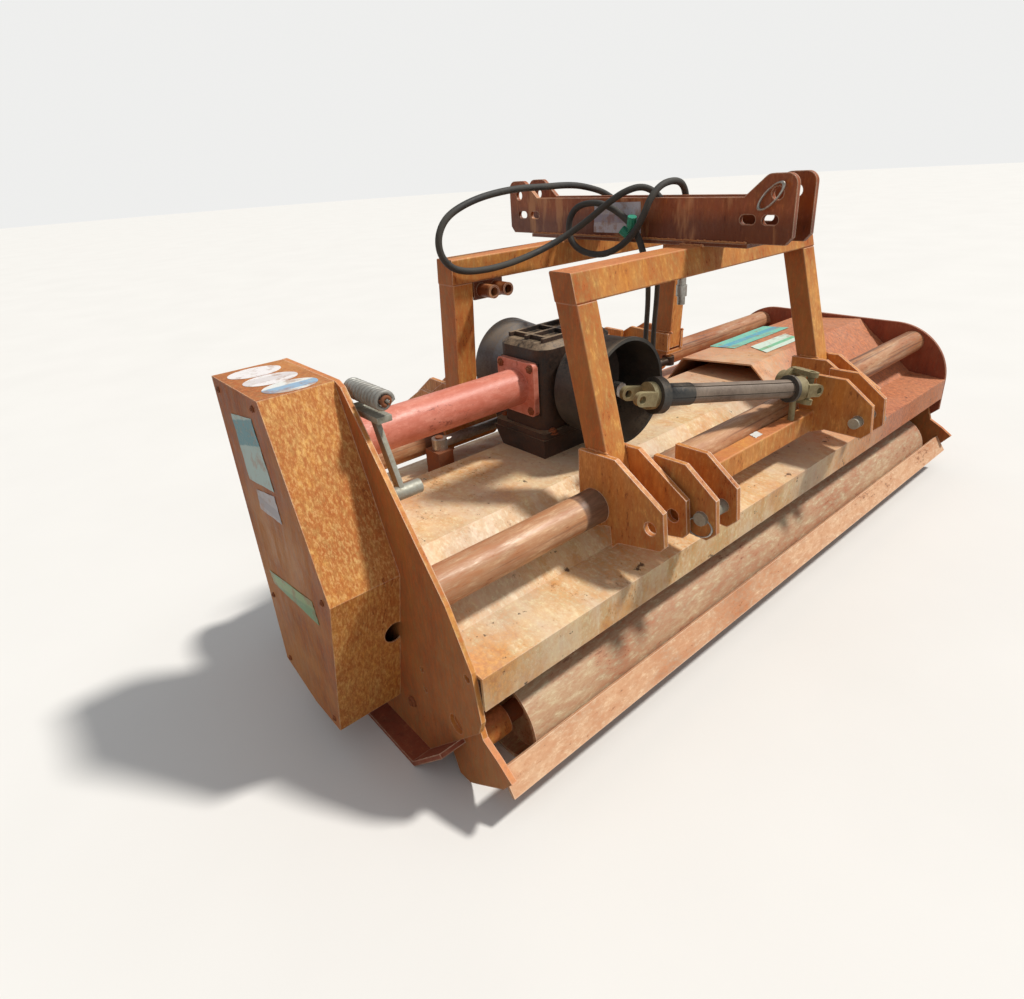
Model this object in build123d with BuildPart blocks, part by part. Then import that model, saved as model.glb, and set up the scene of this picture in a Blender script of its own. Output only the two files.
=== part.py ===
from build123d import *
import math
import os

os.makedirs("parts", exist_ok=True)

# A side-shift flail mulcher for a tractor, all sizes in millimetres.
# X runs along the rotor, from the belt side to the far side. The roller is on
# the -Y side, Z is up and the floor is at Z = 0. The three-point hitch can be
# used from either side, so it is symmetric about the plane Y = 0.

# Casing
casing_w = 2070.0
side_t = 10.0
cover_w = 140.0
hub_out = 45.0
sheet_t = 6.0
x_left = -(cover_w + side_t + casing_w + side_t + hub_out) / 2 + cover_w + side_t
x_right = x_left + casing_w
casing_front = -416.5
casing_rear = 400.0
front_lip_z = 247.0
shelf_z = 318.0
crest_z = 438.0
plate_top_z = 497.0
plate_low_z = 10.0
skid_w = 45.0
skid_t = 10.0

# Slide bars and hitch carriage
bar_y = 290.0
bar_z = 435.0
bar_r = 38.0
bar_wall = 6.0
collar_gap = 0.3
collar_t = 8.0
hitch_x = x_left + 891.0
tube = 60.0
portal_half = 466.0
portal_top_z = 905.0
post_top_y = 222.0
front_foot_y = 311.0
rear_foot_y = 244.0
lean_z = 557.0
lug_t = 12.0
lug_hole_r = 14.3
pin_r = 14.0
outer_lug_y = 434.5
outer_lug_z = 437.0
inner_lug_y = 486.0
inner_lug_z = 442.0
link_gap = 60.0
inner_link_half = portal_half - 124.5
outer_link_half = portal_half - link_gap / 2
cross_tube_depth = 40.0
cross_tube_h = 58.0
cross_tube_z = 385.0

# Top beam of the hitch
beam_half_l = 435.0
web_half = 44.0
web_t = 12.0
beam_plate_t = 9.0
web_h = 94.0
web_low_z = portal_top_z + beam_plate_t
web_top_z = web_low_z + web_h
beam_plate_half_w = 50.0
beam_plate_half_l = 340.0
ear_in = 40.0
ear_h = 101.0
ear_z = web_low_z + ear_h
ear_hole_r = 13.0
ear_round = 38.0

# Drive line
gear_x = hitch_x - portal_half + tube + 154.0
gear_y = 46.5
gear_z = 604.0
gear_half_x = 125.0
gear_half_y = 95.0
gear_foot_z = 484.0
gear_top_z = 722.0
drive_tube_r = 45.0
flange_half = 66.0
flange_t = 14.0
shaft_r = 17.5
journal_r = 20.0
shaft_gap = 0.3
bell_r = 126.0
bell_mouth_y = -188.0
rear_bell_r = 117.0
rear_bell_y = 235.0
bell_t = 4.0

# Rotor and roller
rotor_y = -5.0
rotor_z = 222.0
rotor_r = 76.0
rotor_sweep = 190.0
rotor_shaft_r = 30.0
roller_y = -325.0
roller_r = 95.0
roller_wall = 8.0
roller_inset = 106.0
roller_disc_in = 34.0
roller_pin_r = 20.0
roller_hub_r = 32.0
running_gap = 0.3

# Raised hood over the right half of the casing
hood_x = x_left + 1318.0
hood_t = 5.0

# Side-shift cylinder
cyl_y = 205.0
cyl_z = 452.0
cyl_r = 28.0
cyl_bore_r = 22.0
rod_r = 14.0
eye_r = 20.0
eye_pin_r = 10.0
barrel_x0 = x_left + 817.5
barrel_x1 = x_left + 1249.5
base_eye_x = x_left + 1319.5
rod_eye_x = x_left + 365.0
rod_end_x = barrel_x0 + 28.0
port_x = (base_eye_x - 85.0, base_eye_x - 125.0)
hose_d = 16.0


def side_plane(x):
    """Sketch plane across X, with local x along +Y and local y along +Z."""
    return Plane(origin=(x, 0, 0), x_dir=(0, 1, 0), z_dir=(1, 0, 0))


def face_plane(y):
    """Sketch plane across Y that looks to -Y, with local axes +X and +Z."""
    return Plane(origin=(0, y, 0), x_dir=(1, 0, 0), z_dir=(0, -1, 0))


def axis_plane(start, end):
    """Sketch plane at start that looks to end."""
    direction = Vector(*end) - Vector(*start)
    return Plane(origin=start, z_dir=direction)


def bent_sheet(points, thickness):
    """Outline of a folded sheet: its outer line and the mitred inner line."""
    inner = []
    for i, (y, z) in enumerate(points):
        before = points[max(i - 1, 0)]
        after = points[min(i + 1, len(points) - 1)]
        here = (y, z)
        starts = (before, here) if i > 0 else (here, here)
        ends = (here, after) if i < len(points) - 1 else (here, here)
        normals = []
        for a, b in (starts, ends):
            length = math.hypot(b[0] - a[0], b[1] - a[1])
            if length > 0:
                normals.append(((b[1] - a[1]) / length, -(b[0] - a[0]) / length))
        if len(normals) == 1:
            normals.append(normals[0])
        sum_y = normals[0][0] + normals[1][0]
        sum_z = normals[0][1] + normals[1][1]
        scale = 2.0 / (sum_y * sum_y + sum_z * sum_z)
        inner.append((y + sum_y * scale * thickness, z + sum_z * scale * thickness))
    return list(points) + inner[::-1]


def write(part, name):
    part.label = name
    export_step(part, f"parts/{name}.step")


# Casing: one folded sheet from the front lip over the rotor to the rear lip
deck_points = [
    (casing_front, front_lip_z),
    (casing_front, shelf_z),
    (-300.0, shelf_z + 8),
    (-165.0, crest_z + 2),
    (110.0, crest_z - 2),
    (215.0, 372.0),
    (casing_rear - 60, 345.0),
    (casing_rear, 325.0),
    (casing_rear, 250.0),
]


def deck_top(y):
    """Height of the casing's upper face at y."""
    for (y0, z0), (y1, z1) in zip(deck_points[1:], deck_points[2:]):
        if y0 <= y <= y1:
            return z0 + (z1 - z0) * (y - y0) / (y1 - y0)
    return shelf_z


guard_wall_y = -226.0
guard_wall_low = 215.0

with BuildPart() as casing_shell:
    with BuildSketch(side_plane(x_left)):
        Polygon(*bent_sheet(deck_points, sheet_t), align=None)
    extrude(amount=casing_w)
    with BuildSketch(side_plane(x_left)):
        Polygon(
            (guard_wall_y, guard_wall_low),
            (guard_wall_y + sheet_t, guard_wall_low),
            (guard_wall_y + sheet_t, 389.0),
            (guard_wall_y, 384.0),
            align=None,
        )
    extrude(amount=casing_w)
write(casing_shell.part, "casing_shell")

# Side plates: holes are (y, z, radius)
plate_holes = [
    (-332.0, 163.0, 20.0),
    (-385.0, 305.0, 8.0),
    (-231.0, 226.0, 6.0),
    (-234.0, 177.0, 6.0),
    (-175.0, 107.0, 9.0),
    (rotor_y, rotor_z, rotor_shaft_r + 1.0),
]
cut_y = 220.0
low_outline = [
    (-cut_y, plate_low_z),
    (cut_y, plate_low_z),
    (casing_rear, plate_low_z + casing_rear - cut_y),
]

with BuildPart() as side_plate_left:
    with BuildSketch(side_plane(x_left - side_t)):
        with BuildLine():
            Polyline(
                *low_outline,
                (casing_rear, plate_top_z - 170),
            )
            RadiusArc(
                (casing_rear, plate_top_z - 170),
                (casing_rear - 170, plate_top_z),
                -170,
            )
            Polyline(
                (casing_rear - 170, plate_top_z),
                (180.0, plate_top_z),
                (162.0, 770.0),
                (-66.0, 770.0),
                (-85.0, 762.0),
                (-177.0, 644.0),
                (-342.0, 433.0),
                (-400.0, 325.0),
                (casing_front + 1.5, 225.0),
                (-404.0, plate_low_z + 404.0 - cut_y),
                (-cut_y, plate_low_z),
            )
        make_face()
    extrude(amount=side_t)
    with BuildSketch(side_plane(x_left - side_t)):
        for hole_y, hole_z, hole_r in plate_holes:
            with Locations((hole_y, hole_z)):
                Circle(hole_r)
    extrude(amount=side_t, mode=Mode.SUBTRACT)
write(side_plate_left.part, "side_plate_left")

with BuildPart() as side_plate_right:
    with BuildSketch(side_plane(x_right)):
        with BuildLine():
            Polyline(*low_outline, (casing_rear, plate_top_z - 170))
            RadiusArc(
                (casing_rear, plate_top_z - 170),
                (casing_rear - 170, plate_top_z),
                -170,
            )
            Line((casing_rear - 170, plate_top_z), (casing_front + 185, plate_top_z))
            RadiusArc(
                (casing_front + 185, plate_top_z),
                (casing_front, plate_top_z - 185),
                -185,
            )
            Polyline(
                (casing_front, plate_top_z - 185),
                (casing_front, plate_low_z - casing_front - cut_y),
                (-cut_y, plate_low_z),
            )
        make_face()
    extrude(amount=side_t)
    with BuildSketch(side_plane(x_right)):
        for hole_y, hole_z, hole_r in plate_holes:
            with Locations((hole_y, hole_z)):
                Circle(hole_r)
    extrude(amount=side_t, mode=Mode.SUBTRACT)
write(side_plate_right.part, "side_plate_right")

# Skids: a bent flat bar under each side plate, reaching outwards
skid_points = [
    (casing_rear - 60, plate_low_z + casing_rear - 60 - cut_y),
    (cut_y, plate_low_z),
    (-cut_y, plate_low_z),
    (-cut_y - 115, plate_low_z + 115),
]
for name, skid_x in (("skid_left", x_left - side_t - skid_w), ("skid_right", x_right)):
    with BuildPart() as skid:
        with BuildSketch(side_plane(skid_x)):
            Polygon(*bent_sheet(skid_points, -skid_t), align=None)
        extrude(amount=skid_w + side_t)
    write(skid.part, name)

# Belt cover: a thin box outside the left plate, open towards it
cover_points = [
    (160.0, 770.0),
    (-65.0, 770.0),
    (-201.0, 427.0),
    (-121.0, 88.0),
    (-12.0, 87.0),
    (122.0, 122.0),
    (128.0, 300.0),
]
cover_t = 3.0
cover_hole_r = 21.5
with BuildPart() as belt_cover:
    with BuildSketch(side_plane(x_left - side_t - cover_w)):
        Polygon(*cover_points, align=None)
    extrude(amount=cover_w)
    with BuildSketch(side_plane(x_left - side_t - cover_w + cover_t)) as cover_inside:
        Polygon(*cover_points, align=None)
        offset(amount=-cover_t, kind=Kind.INTERSECTION, mode=Mode.REPLACE)
    extrude(amount=cover_w, mode=Mode.SUBTRACT)
    with BuildSketch(face_plane(-250.0)):
        with Locations((x_left - side_t - 13, 286.0)):
            Ellipse(cover_hole_r, cover_hole_r + 3)
    extrude(amount=-180.0, mode=Mode.SUBTRACT)
write(belt_cover.part, "belt_cover")

# Raised hood: a folded sheet, open at its left end
hood_points = [
    (-188.0, crest_z - 22),
    (-104.0, plate_top_z - 4),
    (146.0, plate_top_z - 26),
    (226.0, 354.0),
]
with BuildPart() as raised_hood:
    with BuildSketch(side_plane(hood_x)):
        Polygon(*bent_sheet(hood_points, hood_t), align=None)
        Polygon(*deck_points, align=None, mode=Mode.SUBTRACT)
    extrude(amount=x_right - hood_x)
write(raised_hood.part, "raised_hood")

# Slide bars: thick tubes between the side plates
for name, side in (("slide_bar_front", -1), ("slide_bar_rear", 1)):
    with BuildPart() as bar:
        with BuildSketch(side_plane(x_left)):
            with Locations((side * bar_y, bar_z)):
                Circle(bar_r)
                Circle(bar_r - bar_wall, mode=Mode.SUBTRACT)
        extrude(amount=casing_w)
    write(bar.part, name)

# Gearbox seat: a welded pedestal between the deck and the gearbox foot
with BuildPart() as gearbox_seat:
    with BuildSketch(side_plane(gear_x - 140)):
        Polygon(
            (gear_y - gear_half_y, deck_top(gear_y - gear_half_y)),
            (gear_y - gear_half_y, gear_foot_z),
            (gear_y + gear_half_y, gear_foot_z),
            (gear_y + 63, deck_top(gear_y + 63)),
            align=None,
        )
    extrude(amount=280.0)
write(gearbox_seat.part, "gearbox_seat")

# Gearbox: cast housing with a foot, end bosses, a ribbed top and a through bore
rib_h = 10.0
rib_t = 9.0
bearing_cap_r = 62.0
with BuildPart() as gearbox:
    with BuildSketch(Plane.XY.offset(gear_foot_z)):
        with Locations((gear_x, gear_y)):
            RectangleRounded(276.0, 188.0, 14.0)
    extrude(amount=16.0)
    with BuildSketch(Plane.XY.offset(gear_foot_z + 16)):
        with Locations((gear_x, gear_y)):
            RectangleRounded(2 * gear_half_x, 2 * gear_half_y - 20, 40.0)
    extrude(amount=gear_top_z - 22 - gear_foot_z - 16)
    with BuildSketch(Plane.XY.offset(gear_top_z - 22)):
        with Locations((gear_x, gear_y)):
            RectangleRounded(2 * gear_half_x, 2 * gear_half_y - 20, 40.0)
    with BuildSketch(Plane.XY.offset(gear_top_z - rib_h)):
        with Locations((gear_x, gear_y)):
            RectangleRounded(2 * gear_half_x - 30, 2 * gear_half_y - 50, 30.0)
    loft()
    with BuildSketch(Plane.XY.offset(gear_top_z - rib_h)):
        with Locations((gear_x, gear_y)):
            with GridLocations(0, 58.0, 1, 3):
                Rectangle(2 * gear_half_x - 50, rib_t)
            with GridLocations(82.0, 0, 3, 1):
                Rectangle(rib_t, 2 * gear_half_y - 70)
    extrude(amount=rib_h)
    with BuildSketch(side_plane(gear_x + gear_half_x)):
        with Locations((gear_y, gear_z)):
            Circle(bearing_cap_r)
    extrude(amount=12.0)
    with BuildSketch(face_plane(gear_y + gear_half_y)):
        with Locations((gear_x, gear_z)):
            Circle(62.0)
    extrude(amount=2 * gear_half_y)
    with BuildSketch(side_plane(gear_x - gear_half_x)):
        with Locations((gear_y, gear_z)):
            Rectangle(2 * flange_half, 2 * flange_half)
    extrude(amount=30.0)
    with BuildSketch(face_plane(gear_y + gear_half_y + 30)):
        with Locations((gear_x, gear_z)):
            Circle(journal_r + shaft_gap)
    extrude(amount=2 * gear_half_y + 60, mode=Mode.SUBTRACT)
write(gearbox.part, "gearbox")

# Drive tube: from the gearbox flange to the left side plate
with BuildPart() as drive_tube:
    with BuildSketch(side_plane(x_left)):
        with Locations((gear_y, gear_z)):
            Circle(drive_tube_r)
            Circle(drive_tube_r - 5, mode=Mode.SUBTRACT)
    extrude(amount=gear_x - gear_half_x - x_left)
    with BuildSketch(side_plane(gear_x - gear_half_x - flange_t)):
        with Locations((gear_y, gear_z)):
            RectangleRounded(2 * flange_half, 2 * flange_half, 12.0)
            Circle(drive_tube_r - 5, mode=Mode.SUBTRACT)
    extrude(amount=flange_t)
write(drive_tube.part, "drive_tube")

# Shaft guards: an open bell at each end of the gearbox, turned about the input
# shaft. Each profile point is (depth from the gearbox's face, radius).
front_bell_depth = gear_y - gear_half_y - bell_mouth_y
rear_bell_depth = rear_bell_y - gear_y - gear_half_y
bell_hole_r = 24.0
front_bell_profile = [
    (0.0, bell_hole_r),
    (0.0, bell_r - 26),
    (16.0, bell_r - 9),
    (front_bell_depth - 12, bell_r - 4),
    (front_bell_depth - 12, bell_r),
    (front_bell_depth, bell_r),
    (front_bell_depth, bell_r - bell_t - 4),
    (18.0, bell_r - bell_t - 12),
    (bell_t, bell_r - bell_t - 28),
    (bell_t, bell_hole_r),
]
rear_bell_profile = [
    (0.0, bell_hole_r),
    (0.0, rear_bell_r - 42),
    (14.0, rear_bell_r - 20),
    (36.0, rear_bell_r - 6),
    (rear_bell_depth, rear_bell_r),
    (rear_bell_depth, rear_bell_r - bell_t),
    (38.0, rear_bell_r - bell_t - 6),
    (18.0, rear_bell_r - bell_t - 20),
    (bell_t, rear_bell_r - bell_t - 40),
    (bell_t, bell_hole_r),
]
# Columns: name, face on the gearbox, outward direction, profile
bell_table = [
    ("shaft_guard_front", gear_y - gear_half_y, -1, front_bell_profile),
    ("shaft_guard_rear", gear_y + gear_half_y, 1, rear_bell_profile),
]
for name, back_y, outward, profile in bell_table:
    bell_side = Plane(origin=(gear_x, back_y, gear_z), x_dir=(0, outward, 0), z_dir=(1, 0, 0))
    with BuildPart() as bell:
        with BuildSketch(bell_side):
            Polygon(*profile, align=None)
        revolve(axis=Axis((gear_x, back_y, gear_z), (0, 1, 0)))
    write(bell.part, name)

# Input shaft: one splined shaft right through the gearbox
shaft_front_y = -168.0
shaft_rear_y = 218.0
spline_l = 76.0
with BuildPart() as input_shaft:
    with BuildSketch(face_plane(shaft_rear_y)):
        with Locations((gear_x, gear_z)):
            Circle(shaft_r)
    extrude(amount=shaft_rear_y - shaft_front_y)
    with BuildSketch(face_plane(shaft_rear_y - spline_l)):
        with Locations((gear_x, gear_z)):
            Circle(journal_r)
    extrude(amount=shaft_rear_y - shaft_front_y - 2 * spline_l)
    for start_y in (shaft_front_y + spline_l, shaft_rear_y):
        with BuildSketch(face_plane(start_y)):
            with Locations((gear_x, gear_z)):
                with PolarLocations(shaft_r, 6):
                    Rectangle(5.0, 4.0)
        extrude(amount=spline_l, mode=Mode.SUBTRACT)
write(input_shaft.part, "input_shaft")

# Belt tensioner: boss on the left plate, lever with a fork, and its spring
pivot_y, pivot_z = -181.0, 576.0
fork_y, fork_z = -121.0, 706.0
spring_z = 747.0
spring_x = x_left + 26.0
with BuildPart() as tensioner_lever:
    with BuildSketch(side_plane(x_left)):
        with Locations((pivot_y, pivot_z)):
            Circle(13.5)
    extrude(amount=67.0)
    with BuildSketch(side_plane(x_left + 22)):
        Polygon(
            (pivot_y - 10, pivot_z),
            (pivot_y + 10, pivot_z),
            (fork_y + 10, fork_z),
            (fork_y - 10, fork_z),
            align=None,
        )
    extrude(amount=10.0)
    with BuildSketch(side_plane(x_left + 12)):
        with Locations((fork_y, fork_z + 4)):
            Rectangle(78.0, 12.0)
    extrude(amount=30.0)
    with BuildSketch(side_plane(x_left + 12)):
        Polygon(
            (fork_y - 39, fork_z + 10),
            (fork_y - 31, fork_z + 10),
            (fork_y - 31, spring_z + 20),
            (fork_y - 39, spring_z + 20),
            align=None,
        )
    extrude(amount=30.0)
write(tensioner_lever.part, "tensioner_lever")

with BuildPart() as tensioner_spring:
    with BuildSketch(face_plane(fork_y - 30.7)):
        with Locations((spring_x, spring_z)):
            Circle(18.5)
    extrude(amount=-99.0)
write(tensioner_spring.part, "tensioner_spring")

# Rotor: drum on two stub shafts, with rows of flails on lugs
rotor_x0 = x_left + 14.0
rotor_x1 = x_right - 14.0
with BuildPart() as rotor_drum:
    with BuildSketch(side_plane(rotor_x0)):
        with Locations((rotor_y, rotor_z)):
            Circle(rotor_r)
    extrude(amount=rotor_x1 - rotor_x0)
    with BuildSketch(side_plane(x_left - side_t - 60)):
        with Locations((rotor_y, rotor_z)):
            Circle(rotor_shaft_r)
    extrude(amount=casing_w + side_t + 60 + side_t + 20)
write(rotor_drum.part, "rotor_drum")

# Each flail is a hammer that hangs between two lugs. The outlines are
# (radius, half width) on one side of the flail's middle line.
flail_count = 26
flail_w = 62.0
flail_rows = 4
row_turn = 20.0
lug_plate_t = 14.0
flail_pitch = (rotor_x1 - rotor_x0 - flail_w - 40) / (flail_count - 1)
lug_half_outline = [(rotor_r - 8, 26.0), (rotor_r + 20, 18.0), (rotor_r + 40, 12.0)]
hammer_half_outline = [
    (rotor_r + 12, 11.0),
    (rotor_r + 46, 11.0),
    (rotor_r + 58, 22.0),
    (rotor_sweep - 12, 26.0),
    (rotor_sweep - 6, 16.0),
]


def both_sides(half_outline):
    return half_outline + [(radius, -half) for radius, half in reversed(half_outline)]


# Columns: start and thickness along the rotor, outline
flail_parts = [
    (0.0, lug_plate_t, lug_half_outline),
    (flail_w - lug_plate_t, lug_plate_t, lug_half_outline),
    (lug_plate_t, flail_w - 2 * lug_plate_t, hammer_half_outline),
]
with BuildPart() as rotor_flails:
    for i in range(flail_count):
        turn = math.radians(i * 360.0 / flail_rows + row_turn * (i % 3))
        for start, thickness, half_outline in flail_parts:
            flail_plane = Plane(
                origin=(rotor_x0 + 20 + i * flail_pitch + start, rotor_y, rotor_z),
                x_dir=(0, math.cos(turn), math.sin(turn)),
                z_dir=(1, 0, 0),
            )
            with BuildSketch(flail_plane):
                Polygon(*both_sides(half_outline), align=None)
            extrude(amount=thickness)
    with BuildSketch(side_plane(rotor_x0)):
        with Locations((rotor_y, rotor_z)):
            Circle(rotor_r)
    extrude(amount=rotor_x1 - rotor_x0, mode=Mode.SUBTRACT)
write(rotor_flails.part, "rotor_flails")

# Rotor bearing housing on the outside of the right plate
with BuildPart() as rotor_bearing:
    with BuildSketch(side_plane(x_right + side_t)):
        with Locations((rotor_y, rotor_z)):
            Circle(78.0)
            Circle(rotor_shaft_r + running_gap, mode=Mode.SUBTRACT)
    extrude(amount=14.0)
    with BuildSketch(side_plane(x_right + side_t + 14)):
        with Locations((rotor_y, rotor_z)):
            Circle(52.0)
            Circle(rotor_shaft_r + running_gap, mode=Mode.SUBTRACT)
    extrude(amount=hub_out - 14 - 8)
    with BuildSketch(side_plane(x_right + side_t + hub_out - 8)):
        with Locations((rotor_y, rotor_z)):
            Circle(52.0)
    extrude(amount=8.0)
write(rotor_bearing.part, "rotor_bearing")

# Roller: tube with recessed end discs and pins that run in the bracket hubs
roller_x0 = x_left + roller_inset
roller_x1 = x_right - roller_inset
with BuildPart() as roller_tube:
    with BuildSketch(side_plane(roller_x0)):
        with Locations((roller_y, roller_r)):
            Circle(roller_r)
            Circle(roller_r - roller_wall, mode=Mode.SUBTRACT)
    extrude(amount=roller_x1 - roller_x0)
    for disc_x in (roller_x0 + roller_disc_in, roller_x1 - roller_disc_in - 10):
        with BuildSketch(side_plane(disc_x)):
            with Locations((roller_y, roller_r)):
                Circle(roller_r - roller_wall / 2)
        extrude(amount=10.0)
write(roller_tube.part, "roller_tube")

with BuildPart() as roller_pins:
    for pin_x in (x_left + 30, roller_x1 - roller_disc_in):
        with BuildSketch(side_plane(pin_x)):
            with Locations((roller_y, roller_r)):
                Circle(roller_pin_r)
        extrude(amount=roller_inset + roller_disc_in - 30)
write(roller_pins.part, "roller_pins")

# Roller brackets: plate under each side plate with the bearing hub
bracket_t = 12.0
bracket_points = [
    (-232.0, 150.0),
    (-262.0, 96.0),
    (-293.0, 52.0),
    (-309.0, 11.0),
    (-341.0, 12.0),
    (-362.0, 26.0),
    (-448.0, 88.0),
    (-474.0, 122.0),
    (-440.0, 146.0),
    (-400.0, 168.0),
    (-372.0, 250.0),
    (-252.0, 300.0),
]
for name, plate_x, hub_x in (
    ("roller_bracket_left", x_left, x_left + bracket_t),
    ("roller_bracket_right", x_right - bracket_t, x_right - roller_inset + 6),
):
    with BuildPart() as bracket:
        with BuildSketch(side_plane(plate_x)):
            Polygon(*bracket_points, align=None)
        extrude(amount=bracket_t)
        with BuildSketch(side_plane(hub_x)):
            with Locations((roller_y, roller_r)):
                Circle(roller_hub_r)
                Circle(roller_pin_r + running_gap, mode=Mode.SUBTRACT)
        extrude(amount=roller_inset - bracket_t - 6)
    write(bracket.part, name)

# Scraper: inclined flat bar in front of the roller, between the brackets
scraper_points = [
    (-426.0, 109.0),
    (-457.0, 62.0),
    (-463.7, 66.4),
    (-432.7, 113.4),
]
with BuildPart() as scraper:
    with BuildSketch(side_plane(x_left + bracket_t)):
        Polygon(*scraper_points, align=None)
    extrude(amount=casing_w - 2 * bracket_t)
write(scraper.part, "scraper")

# Intake curtain: a row of rubber strips hung on the rear lip
strip_count = 14
strip_gap = 6.0
strip_t = 8.0
strip_w = (casing_w - 20 - (strip_count - 1) * strip_gap) / strip_count
with BuildPart() as intake_curtain:
    with BuildSketch(Plane.XY.offset(60)):
        for i in range(strip_count):
            strip_x = x_left + 10 + strip_w / 2 + i * (strip_w + strip_gap)
            with Locations((strip_x, casing_rear + strip_t / 2)):
                Rectangle(strip_w, strip_t)
    extrude(amount=240.0)
write(intake_curtain.part, "intake_curtain")

with BuildPart() as curtain_clamp:
    with BuildSketch(side_plane(x_left + 10)):
        with Locations((casing_rear + strip_t + 3, 285.0)):
            Rectangle(6.0, 36.0)
    extrude(amount=casing_w - 20)
write(curtain_clamp.part, "curtain_clamp")

# Hitch portals: two leaning posts and a top beam on each side.
# lean is how far the outer face moves outwards for each millimetre down.
front_lean = (front_foot_y - post_top_y) / (portal_top_z - lean_z)
rear_lean = (rear_foot_y - post_top_y) / (portal_top_z - lean_z)
portal_low_z = portal_top_z - tube


def outer_face(side, z):
    lean = front_lean if side < 0 else rear_lean
    return side * (post_top_y + lean * (portal_top_z - z))


def leaning_box(side, z0, z1):
    """Corners of a tube section that leans with the portal."""
    return (
        (outer_face(side, z0), z0),
        (outer_face(side, z1), z1),
        (outer_face(side, z1) - side * tube, z1),
        (outer_face(side, z0) - side * tube, z0),
    )


# Columns: name, side, x of the left face, length along X, low z, high z
portal_table = [
    ("post_front_left", -1, hitch_x - portal_half, tube, 492.0, portal_low_z),
    ("post_front_right", -1, hitch_x + portal_half - tube, tube, 492.0, portal_low_z),
    ("post_rear_left", 1, hitch_x - portal_half, tube, 500.0, portal_low_z),
    ("post_rear_right", 1, hitch_x + portal_half - tube, tube, 500.0, portal_low_z),
    ("beam_front", -1, hitch_x - portal_half, 2 * portal_half, portal_low_z, portal_top_z),
    ("beam_rear", 1, hitch_x - portal_half, 2 * portal_half, portal_low_z, portal_top_z),
]
for name, side, left_x, length, low_z, high_z in portal_table:
    with BuildPart() as member:
        with BuildSketch(side_plane(left_x)):
            Polygon(*leaning_box(side, low_z, high_z), align=None)
        extrude(amount=length)
        fillet(member.edges().filter_by(lambda e: e.length > 200), radius=4.0)
    write(member.part, name)

# Top beam: base plate and two webs that end in ears for the top link
ear_y = beam_half_l - ear_in
ear_points = [
    (-beam_half_l + 14, web_low_z),
    (-beam_half_l, web_low_z + 16),
    (-beam_half_l, ear_z + ear_round),
    (-ear_y + 22, ear_z + ear_round),
    (-ear_y + 75, web_top_z),
]
web_outline = ear_points + [(-y, z) for y, z in reversed(ear_points)]
slot_places = [
    (side * (ear_y - inwards), ear_z - lower)
    for side in (-1, 1)
    for inwards, lower in ((12.0, 52.0), (63.0, 52.0))
]
with BuildPart() as top_beam:
    with BuildSketch(Plane.XY.offset(portal_top_z)):
        with Locations((hitch_x, 0)):
            Rectangle(2 * beam_plate_half_w, 2 * beam_plate_half_l)
    extrude(amount=beam_plate_t)
    for web_x in (hitch_x - web_half, hitch_x + web_half - web_t):
        with BuildSketch(side_plane(web_x)):
            web = Polygon(*web_outline, align=None)
            fillet(web.vertices().group_by(Axis.Y)[-1], radius=ear_round * 0.6)
            with Locations((-ear_y, ear_z), (ear_y, ear_z)):
                Circle(ear_hole_r, mode=Mode.SUBTRACT)
            with Locations(*slot_places):
                SlotOverall(37.0, 20.0, mode=Mode.SUBTRACT)
        extrude(amount=web_t)
write(top_beam.part, "top_beam")

# Lower link lugs: plates on a collar that slides on the bar.
# The outlines are (distance out from the middle, z) of one side.
outer_lug_points = [
    (246.0, 552.0),
    (344.0, 556.0),
    (464.0, 480.0),
    (470.0, 408.0),
    (461.0, 396.0),
    (354.0, 370.0),
    (338.0, 352.0),
]
inner_lug_points = [
    (366.0, 543.0),
    (442.0, 544.0),
    (515.5, 489.0),
    (521.0, 418.0),
    (500.0, 397.0),
    (405.0, 397.0),
    (366.0, 380.0),
]
collar_r = bar_r + collar_gap + collar_t
x_outer = portal_half + lug_t
x_post_in = portal_half - tube - lug_t
inner_lug_in = inner_link_half - link_gap / 2 - lug_t


def lug_outline(points, side, reach):
    """Lug outline with its back edge carried round the collar.

    reach takes the top of the plate further in, behind a rear post."""
    top_y, top_z = points[0]
    corners = points + [
        (points[-1][0] - 6, bar_z - collar_r + 12),
        (bar_y, bar_z - collar_r + 4),
        (bar_y - collar_r + 4, bar_z + 10),
        (top_y, top_z - 60),
    ]
    if reach > 0:
        corners += [(top_y - reach, top_z - 60), (top_y - reach, top_z)]
    return [(side * y, z) for y, z in corners]


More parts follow.
